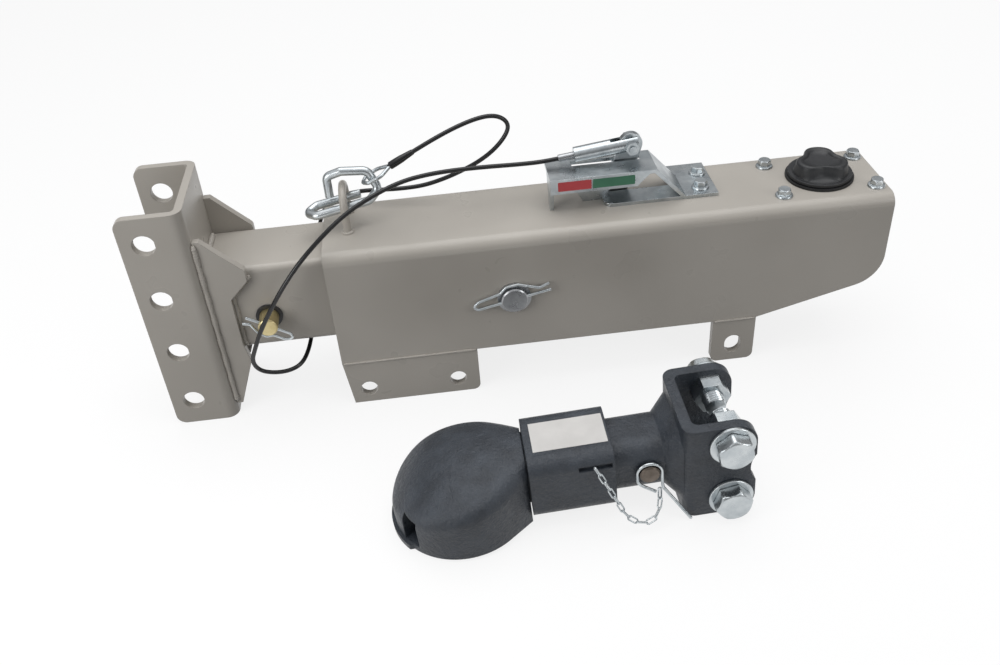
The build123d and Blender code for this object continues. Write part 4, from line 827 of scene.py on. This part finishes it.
# %% Bands on the lip
LIP_FACE, LIP_MIDDLE, BAND_HALF = -14.02, 127.6, 4.0
red_band = flat_sticker((146.5, LIP_FACE, LIP_MIDDLE), 13.4, BAND_HALF)
green_band = flat_sticker((178.0, LIP_FACE, LIP_MIDDLE), 17.0, BAND_HALF)
add_sticker("red_band", [red_band], "case", sticker("red_sticker", tint(192, 74, 78)))
add_sticker("green_band", [green_band], "case", sticker("green_sticker", tint(66, 118, 92)))

# %% Label on the sleeve
SLEEVE_TOP = 68.7
LABEL_HALF, LABEL_START, LABEL_END = 15, 107.5, 161.5
label_across = np.linspace(-LABEL_HALF, LABEL_HALF, 30)
label_y = np.concatenate([label_across, label_across[::-1]])
label_z = SLEEVE_TOP + np.repeat([0.22, 0.03], len(label_across))
label_u = np.linspace(LABEL_START, LABEL_END, 12)[:, None]
label_points = np.stack(np.broadcast_arrays(label_u, label_y, label_z), -1)
label = add_sticker("sleeve_label", [in_head(tube_mesh(label_points))], "latch_sleeve",
                    sticker("white_sticker", tint(205, 203, 200)))

# %% [markdown]
# ## Floor, light and world
# The photograph's background is plain white. The floor shows white to the camera and in
# reflections, where most of it glows and the rest is a pale surface that takes the object's
# shadow. To other light it is dark, so that the sides stay darker than the top, as they do in
# the photograph. Metal needs something to reflect: the world is a soft gradient, bright
# overhead and dim at the horizon.

# %% Node helpers


def new_nodes(tree, *kinds):
    """Empties a node tree and adds one shader node of each kind."""
    tree.nodes.clear()
    return [tree.nodes.new("ShaderNode" + kind) for kind in kinds]


def link_all(tree, *pairs):
    for source, target in pairs:
        tree.links.new(source, target)


# %% Floor
REACH = 6.0
DULL, PALE, GLOW_SHARE = 0.07, 0.92, 0.82
floor_mesh = bpy.data.meshes.new("studio_floor")
corners = [(-REACH, -REACH), (REACH, -REACH), (REACH, REACH), (-REACH, REACH)]
floor_mesh.from_pydata([(x, y, FLOOR_Z) for x, y in corners], [], [(0, 1, 2, 3)])
floor = bpy.data.objects.new("studio_floor", floor_mesh)
scene.collection.objects.link(floor)
floor_material = bpy.data.materials.new("studio_floor")
floor_material.use_nodes = True
tree = floor_material.node_tree
path, direct, seen, dull, pale, glow, white, choice, output = new_nodes(
    tree, "LightPath", "Math", "Math", "BsdfDiffuse", "BsdfDiffuse", "Emission", "MixShader",
    "MixShader", "OutputMaterial")
direct.operation = seen.operation = "MAXIMUM"
dull.inputs["Color"].default_value = (DULL, DULL, DULL, 1)
pale.inputs["Color"].default_value = (PALE, PALE, PALE, 1)
glow.inputs["Strength"].default_value = 1.0
white.inputs["Fac"].default_value = GLOW_SHARE
link_all(
    tree,
    (path.outputs["Is Camera Ray"], direct.inputs[0]),
    (path.outputs["Is Transmission Ray"], direct.inputs[1]),
    (direct.outputs[0], seen.inputs[0]),
    (path.outputs["Is Glossy Ray"], seen.inputs[1]),
    (pale.outputs[0], white.inputs[1]),
    (glow.outputs[0], white.inputs[2]),
    (seen.outputs[0], choice.inputs["Fac"]),
    (dull.outputs[0], choice.inputs[1]),
    (white.outputs[0], choice.inputs[2]),
    (choice.outputs[0], output.inputs["Surface"]),
)
floor_mesh.materials.append(floor_material)
print("floor", 2 * REACH, "m square")

# %% World
SKY = [(0.0, 0.16), (0.50, 0.10), (0.62, 0.16), (0.80, 0.52), (1.0, 0.80)]
world = bpy.data.worlds.new("studio")
scene.world = world
world.use_nodes = True
tree = world.node_tree
where, split, span, sky, path, gradient, backdrop, choice, output = new_nodes(
    tree, "TexCoord", "SeparateXYZ", "MapRange", "ValToRGB", "LightPath", "Background",
    "Background", "MixShader", "OutputWorld")
while len(sky.color_ramp.elements) < len(SKY):
    sky.color_ramp.elements.new(0.5)
for spot, (position, level) in zip(sky.color_ramp.elements, SKY):
    spot.position = position
    spot.color = (level, level * 1.005, level * 1.02, 1)
span.inputs["From Min"].default_value = -1
backdrop.inputs["Color"].default_value = (1, 1, 1, 1)
link_all(
    tree,
    (where.outputs["Generated"], split.inputs[0]),
    (split.outputs["Z"], span.inputs["Value"]),
    (span.outputs["Result"], sky.inputs["Fac"]),
    (sky.outputs["Color"], gradient.inputs["Color"]),
    (path.outputs["Is Camera Ray"], choice.inputs["Fac"]),
    (gradient.outputs[0], choice.inputs[1]),
    (backdrop.outputs[0], choice.inputs[2]),
    (choice.outputs[0], output.inputs["Surface"]),
)
print("sky levels", [level for _, level in SKY])

# %% Lamps


def soft_lamp(name, spot, aim, size, watts):
    """Square area lamp at a spot, turned so that its -Z looks at the aim."""
    data = bpy.data.lights.new(name, "AREA")
    data.size = size
    data.energy = watts
    lamp = bpy.data.objects.new(name, data)
    away, side, up = across_axes(np.subtract(spot, aim))
    turn = np.eye(4)
    turn[:3, :3] = np.array([side, up, away]).T
    turn[:3, 3] = spot
    lamp.matrix_world = Matrix(turn.tolist())
    scene.collection.objects.link(lamp)


soft_lamp("overhead", (0.15, 0.25, 1.5), (0.1, -0.05, 0.05), 1.5, 12)
soft_lamp("front_left", (-0.64, -0.52, 0.38), (-0.18, -0.05, 0.05), 0.5, 2.7)
soft_lamp("front_right", (1.0, -0.66, 0.5), (0.36, -0.05, 0.05), 0.5, 2.0)
scene.view_settings.view_transform = "Standard"
